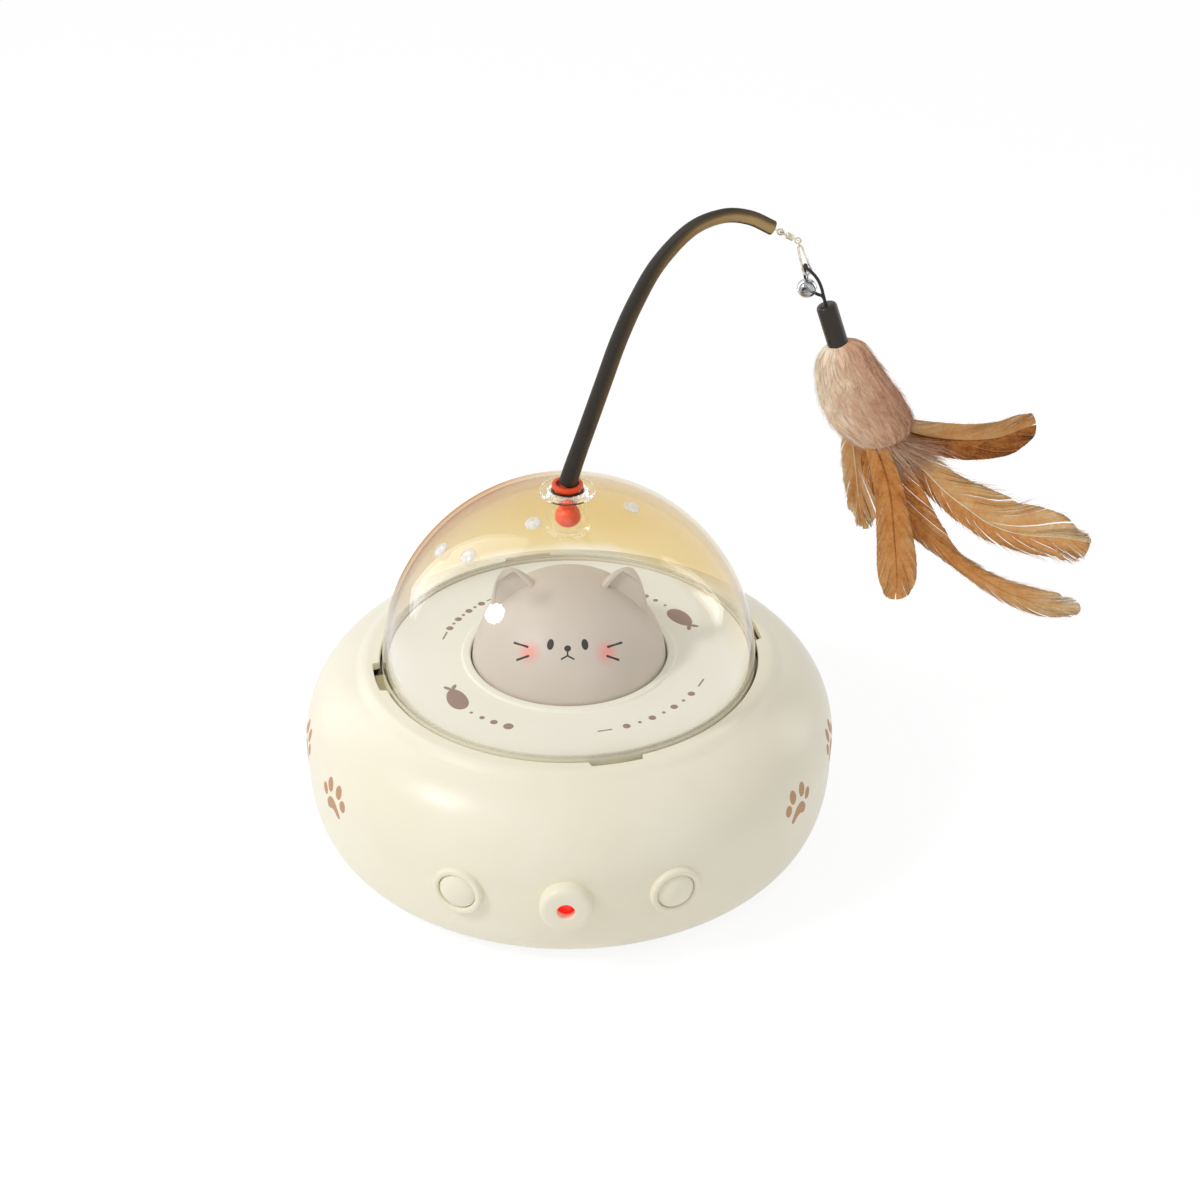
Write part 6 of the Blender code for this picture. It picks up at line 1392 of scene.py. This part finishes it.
def elastic_loop():
    """The elastic from the ferrule through the snap and back."""
    start = ferrule_top() + leaning(FERRULE_LEAN) * 0.0008
    aside = np.array((0.0, 0.0008, 0.0))
    points = [start - aside]
    points += [loop_crown() + np.array(shares) * LOOP_DROP for shares in LOOP_ROUTE]
    points.append(start + aside)
    piece("elastic_cord", [tube_skin(route(points, 150), LOOP_RADIUS, up=(0.9, 0.15, -0.4))], "lure",
          "black_elastic", ["elastic_loop"])


def ferrule():
    """The black sleeve with a round shoulder and an open, slightly belled end."""
    profile = rounded([
        (0.0, 0.0), (FERRULE_RADIUS, 0.0), (FERRULE_RADIUS, 0.0140), (0.00365, FERRULE_LENGTH),
        (0.0031, FERRULE_LENGTH), (0.0029, 0.0128), (0.0, 0.0128),
    ], [0.0, 0.0031, 0.003, 0.0003, 0.0003, 0.0003, 0.0], 9, closed=False)
    piece("ferrule_sleeve", [turned_skin(profile, along(ferrule_top(), leaning(FERRULE_LEAN)), 72)],
          "lure", "black_rubber", ["ferrule"])


def strands(paths, half_width, thickness, face, tones):
    """Many thin closed strands at once. paths is (count, steps, 3); each section is a flat triangle,
    two points at the sides and one on the face, which narrows along the strand to a point:
    P + b w, P + f h, P - b w, with b square to the strand and the face."""
    count, steps = paths.shape[:2]
    side = unit(np.cross(face, unit(np.gradient(paths, axis=1))))
    share = np.linspace(0.0, 1.0, steps)[None, :, None]
    taper = np.sqrt(np.clip(1.02 - share ** 3, 0.02, 1.0))
    width = np.asarray(half_width).reshape(-1, 1, 1) * taper
    ring = np.stack([paths + side * width, paths + face * thickness * taper, paths - side * width], 2)
    inner = steps - 2
    points = np.concatenate([ring[:, 1:-1].reshape(count, -1, 3), paths[:, :1], paths[:, -1:]], 1)
    first, last = inner * 3, inner * 3 + 1
    base = (inner - 1) * 3
    tips = np.array([(first, 1, 0), (first, 2, 1), (first, 0, 2),
                     (last, base, base + 1), (last, base + 1, base + 2), (last, base + 2, base)])
    shift = (np.arange(count) * (inner * 3 + 2))[:, None, None]
    tone = np.concatenate([np.repeat(tones[:, 1:-1], 3, axis=1), tones[:, :1], tones[:, -1:]], 1)
    faces = [(grid_faces(inner, 3)[None] + shift).reshape(-1, 4), (tips[None] + shift).reshape(-1, 3)]
    return points.reshape(-1, 3), faces, np.clip(tone, 0.0, 1.0).ravel()


def sampled(values, at):
    """Rows of an array read off at fractional places."""
    return np.stack([np.interp(at, np.arange(len(values)), column) for column in values.T], -1)


def feather(name, seed):
    """A feather: a tapering shaft with locks of joined barbs on both sides. A barb that leaves the
    shaft at s ends on the vane's edge: P(s, w) = C(s) + S(s) w - F(s) c w^2. The barbs of one lock
    are drawn a little together, which opens the splits, and the last ones fan out round the tip."""
    level, twist, stations = FEATHERS[name]
    look = LOOKS[name]
    bare, locks = look["bare"], look["locks"]
    rng = np.random.default_rng(seed)
    table = np.array(stations)
    root = ferrule_end()
    knots = np.stack([root[0] + FEATHER_REACH * table[:, 0],
                      root[1] + level * FEATHER_SPACING + FEATHER_BEND * table[:, 4],
                      root[2] - FEATHER_DROP * table[:, 1],
                      VANE_WIDTH * table[:, 2], VANE_WIDTH * table[:, 3]], 1)
    line = route(knots, SHAFT_ROWS)
    share = np.linspace(0.0, 1.0, SHAFT_ROWS)
    centre = line[:, :3]
    length = np.linalg.norm(np.diff(centre, axis=0), axis=1).sum()
    way = unit(np.gradient(centre, axis=0))
    side = unit(np.stack([-way[:, 2], 0 * way[:, 0], way[:, 0]], 1))
    turn = math.radians(twist) * share[:, None] ** 2
    side = side * np.cos(turn) + np.cross(way, side) * np.sin(turn)
    face = unit(np.cross(side, way))

    def barbs(start, lock, middle, steps, wild=0.0, streak=0.0):
        """Paths of barbs from places on the shaft on the present hand, and their tones."""
        t = np.linspace(0.0, 1.0, steps)
        tip = start + np.interp(start, share, spread) / length * look["slant"]
        fan = 1 + look["round"] * np.clip((start - turning) / (1 - turning), 0, 1)
        tip = np.where(tip < 1, tip, fan)
        edge = np.interp(tip, share, spread)
        edge = edge * np.sqrt(np.clip(1.003 - (np.maximum(tip - 1, 0) / look["round"]) ** 2, 0, 1))
        wear = np.interp(start, [0.0, look["worn"], 1.0], [0.3, 0.35, 1.0]) * look["fray"]
        trim = 1 - trims[lock] * wear - rng.uniform(0.0, 0.03, start.shape) + wild
        at = start[..., None] + (tip - start)[..., None] * t ** 1.1
        at = at + ((middle - start) * pulls[lock] * wear)[..., None] * t ** 2
        out = (edge * trim)[..., None] * t ** 0.95
        lift = (lifts[lock] * look["ruffle"] * wear)[..., None] * t ** 2
        beyond = np.maximum(at - 1.0, 0.0)[..., None] * length
        along_shaft = np.clip(at, 0.0, 1.0)
        middles, sides, faces, ways = (sampled(values, along_shaft * (SHAFT_ROWS - 1))
                                       for values in (centre, side, face, way))
        bow = -look["camber"] * (out / VANE_WIDTH) ** 2
        paths = middles + ways * beyond + sides * (hand * out)[..., None] + faces * (bow + lift)[..., None]
        tones = look["tone"] + look["hand_tone"] * hand + look["edge_tone"] * t ** 3
        tones = tones + look["tip_tone"] * along_shaft ** 3
        return paths, faces, (tones + streak * rng.standard_normal(start.shape)[..., None]
                              + shades[lock][..., None])

    skins = []
    for hand in (1, -1):
        spread = line[:, 3] if hand > 0 else line[:, 4]
        starts = np.linspace(bare, 1.0, 200)
        turning = np.interp(1.0, starts + np.interp(starts, share, spread) / length * look["slant"], starts)
        pulls = 0.75 * rng.random(locks) ** 3
        trims = rng.uniform(0.0, 0.16, locks)
        pulls[-1] = trims[-1] = 0.0
        lifts = rng.uniform(-1, 1, locks)
        shades = 0.035 * rng.standard_normal(locks)
        borders = np.linspace(0.0, 1.0, locks + 1)
        borders[1:-1] += rng.uniform(-0.35, 0.35, locks - 1) / locks
        borders = bare + (1 - bare) * borders
        start = borders[:-1, None] + np.diff(borders)[:, None] * np.linspace(0.0, 1.0, LOCK_BARBS)
        lock = np.repeat(np.arange(locks)[:, None], LOCK_BARBS, 1)
        paths, up, tones = barbs(start, lock, start.mean(1, keepdims=True), LOCK_STEPS, 0.0, 0.055)
        thick = LOCK_THICKNESS * (1 - 0.6 * np.linspace(0.0, 1.0, LOCK_STEPS))[None, None, :, None]
        both = np.concatenate([paths + up * thick, (paths - up * thick)[:, ::-1]], 1)
        both_tones = np.concatenate([tones, tones[:, ::-1]], 1)
        for skin, tone in zip(both, both_tones):
            ends = [tone[:, 0].mean(), tone[:, -1].mean()]
            skins.append((*closed_skin(skin.transpose(1, 0, 2)), np.concatenate([tone.T.ravel(), ends])))

        count = look["hairs"]
        start = 1 - (1 - bare) * rng.random(count) ** look["hair_bias"]
        lock = np.clip(np.searchsorted(borders, start) - 1, 0, locks - 1)
        middle = ((borders[:-1] + borders[1:]) / 2)[lock]
        wild = rng.uniform(0.0, 0.16, count) * look["fray"]
        paths, up, tones = barbs(start, lock, middle, HAIR_STEPS, wild)
        t = np.linspace(0.0, 1.0, HAIR_STEPS)[None, :, None]
        stray = rng.normal(0.0, 0.0004, (count, 1, 3)) * t ** 3
        tones = tones + 0.3 * (rng.random(count) < look["pale"])[:, None] + 0.08
        width = np.full(count, HAIR_HALF_WIDTH)
        skins.append(strands(paths + up * HAIR_LIFT + stray, width, HAIR_THICKNESS, up, tones))

    shaft, shaft_faces = tube_skin(centre, SHAFT_RADIUS * (1 - 0.85 * share), sides=10)
    skins.append((shaft, shaft_faces, np.full(len(shaft), look["shaft_tone"])))
    piece(name + "_vane", skins, "lure", "feather", [name], 180.0)


def tuft_point(u, angle, share):
    """A point of the tuft: middle(u) + width(u) r cos a across it and depth(u) r sin a towards +Y."""
    row = sampled(route(FLUFF_SHARES, 200, 2), np.clip(u, 0.0, 1.0) * 199)
    way = leaning(FERRULE_LEAN)
    middle = ferrule_end() - way * 0.0016 + np.stack(
        [FLUFF_DROP * row[..., 0], 0 * row[..., 0], -FLUFF_DROP * row[..., 1]], -1)
    return (middle + square_to(way) * (FLUFF_HALF_WIDTH * row[..., 2] * share * np.cos(angle))[..., None]
            + np.array((0.0, 1.0, 0.0)) * (FLUFF_HALF_DEPTH * row[..., 3] * share * np.sin(angle))[..., None])


def fluff():
    """The down tuft: a soft body with fine lengthwise ridges, R(a, u) = 1 - d (ridges in a that drift
    with u), and loose strands that lie on it and hang out at its foot."""
    rng = np.random.default_rng(11)
    u = np.linspace(0.015, 0.97, 84)[:, None]
    angle = around(180)[None, :]
    waves = rng.integers(9, 60, 26)
    drift = rng.uniform(-14, 14, 26)
    phase = rng.uniform(0, FULL_TURN, 26)
    ridges = sum(np.sin(w * angle + d * u + p) / math.sqrt(w) for w, d, p in zip(waves, drift, phase))
    ridges = ridges / np.abs(ridges).max()
    body = closed_skin(tuft_point(u + 0 * angle, angle + 0 * u, 0.95 + 0.035 * ridges))
    # Painted light and shade: the tone is higher, so paler, on the tuft's -X side, where the key lamp falls,
    # and lower on its +X side; the grooves between the ridges are painted darker. The tone also falls towards
    # the tuft's foot
    tone = 0.5 - 0.34 * np.cos(angle) + 0.2 * ridges - 0.24 * u
    skins = [(*body, np.clip(np.concatenate([tone.ravel(), [0.5, 0.3]]), 0.0, 1.0))]

    t = np.linspace(0.0, 1.0, 7)[None, :]
    for count, low, high, inner, outer, reach, wide, flare_most in FLUFF_STRANDS:
        def drawn(least, most):
            return rng.uniform(least, most, count)[:, None]

        begin = drawn(low, high)
        bearing = drawn(0.0, FULL_TURN)
        depth = drawn(inner, outer)
        span = drawn(0.6, 1.2) * reach
        sweep = rng.normal(0.0, 0.2, count)[:, None] * t ** 1.5
        flare = drawn(0.0, flare_most) * t ** 1.6
        curl = 0.012 * np.sin(t * drawn(4.0, 9.0) + bearing * 3)
        place = begin + span * t
        on_tuft = np.minimum(place, 1.0)
        paths = tuft_point(on_tuft, bearing + sweep, depth * (0.97 + flare) + curl)
        fall = np.maximum(place - 1.0, 0.0)[..., None] * FLUFF_DROP
        hang = np.radians(38.0 + 36.0 * np.cos(bearing) + rng.normal(0.0, 7.0, count)[:, None])[..., None]
        paths = paths + fall * np.concatenate([np.sin(hang), 0 * hang, -np.cos(hang)], -1)
        outside = unit(tuft_point(on_tuft, bearing, depth + 0.1) - tuft_point(on_tuft, bearing, depth - 0.1))
        # Painted light and shade as on the body: strands on the -X side, where the key lamp falls, are paler
        # and those on the +X side darker; the tone also falls for strands that begin lower down
        tones = 0.58 - 0.3 * np.cos(bearing) + 0.12 * rng.standard_normal(count)[:, None] - 0.2 * begin
        skins.append(strands(paths, rng.uniform(0.6, 1.3, count) * wide, 0.00004, outside, tones + 0 * t))
    piece("down_tuft", skins, "lure", "fluff", ["fluff"], 180.0)


# Camera, floor and lamps


def camera():
    """The camera that was fitted to the photograph."""
    data = bpy.data.cameras.new("camera")
    data.lens = CAMERA_LENS
    data.sensor_width = 36.0
    data.sensor_fit = "HORIZONTAL"
    data.clip_start = 0.01
    made = bpy.data.objects.new("camera", data)
    made.location = CAMERA_PLACE
    made.rotation_euler = (math.radians(CAMERA_TILT), 0.0, 0.0)
    bpy.context.scene.collection.objects.link(made)
    bpy.context.scene.camera = made


def floor():
    """A wide pale floor that keeps the toy's soft shadow."""
    mesh = bpy.data.meshes.new("floor")
    corners = [(x * FLOOR_REACH, y * FLOOR_REACH, 0.0) for x, y in ((-1, -1), (1, -1), (1, 1), (-1, 1))]
    mesh.from_pydata(corners, [], [(0, 1, 2, 3)])
    made = bpy.data.objects.new("floor", mesh)
    bpy.context.scene.collection.objects.link(made)
    material, tree = new_material("pale_floor")
    plain = add(tree, "BsdfDiffuse", {"Color": (0.93, 0.93, 0.93, 1.0)})
    light = add(tree, "Emission", {"Color": WHITE, "Strength": FLOOR_GLOW})
    output(tree, blended(tree, between(tree, seen_rays(tree), 0.0, 0.8), plain, light))
    mesh.materials.append(material)


def lamp(name, place, target_height, shape, size, power):
    """An area lamp that faces the casing's axis. A panel with two sizes shows in reflections only."""
    data = bpy.data.lights.new(name, "AREA")
    data.shape = shape
    data.size, data.size_y = size[0], size[-1]
    data.energy = power
    made = bpy.data.objects.new(name, data)
    made.location = place
    way = Vector((0.0, 0.0, target_height)) - Vector(place)
    made.rotation_euler = way.to_track_quat("-Z", "Y").to_euler()
    made.visible_diffuse = len(size) == 1
    bpy.context.scene.collection.objects.link(made)


def lights():
    """A pale world, a key lamp and two panels."""
    world = bpy.data.worlds.new("studio")
    bpy.context.scene.world = world
    world.use_nodes = True
    tree = world.node_tree
    tree.nodes.clear()
    strength = between(tree, seen_rays(tree), WORLD_LIGHT, 1.0)
    sky = add(tree, "Background", {"Color": WHITE, "Strength": strength})
    add(tree, "OutputWorld", {"Surface": sky.outputs[0]})
    for name, settings in LAMPS.items():
        lamp(name, *settings)


camera()
finish_cad_nodes()
casing()
button("left", -BUTTON_SPREAD)
button("right", BUTTON_SPREAD)
light_spot()
paws()
disc()
disc_prints()
cat_head()
dome()
socket()
plug()
wand()
swivel()
snap()
bell()
elastic_loop()
ferrule()
for number, feather_name in enumerate(FEATHERS):
    feather(feather_name, 20 + number)
fluff()
floor()
lights()
bpy.context.scene.view_settings.view_transform = "Standard"

bpy.context.view_layer.update()
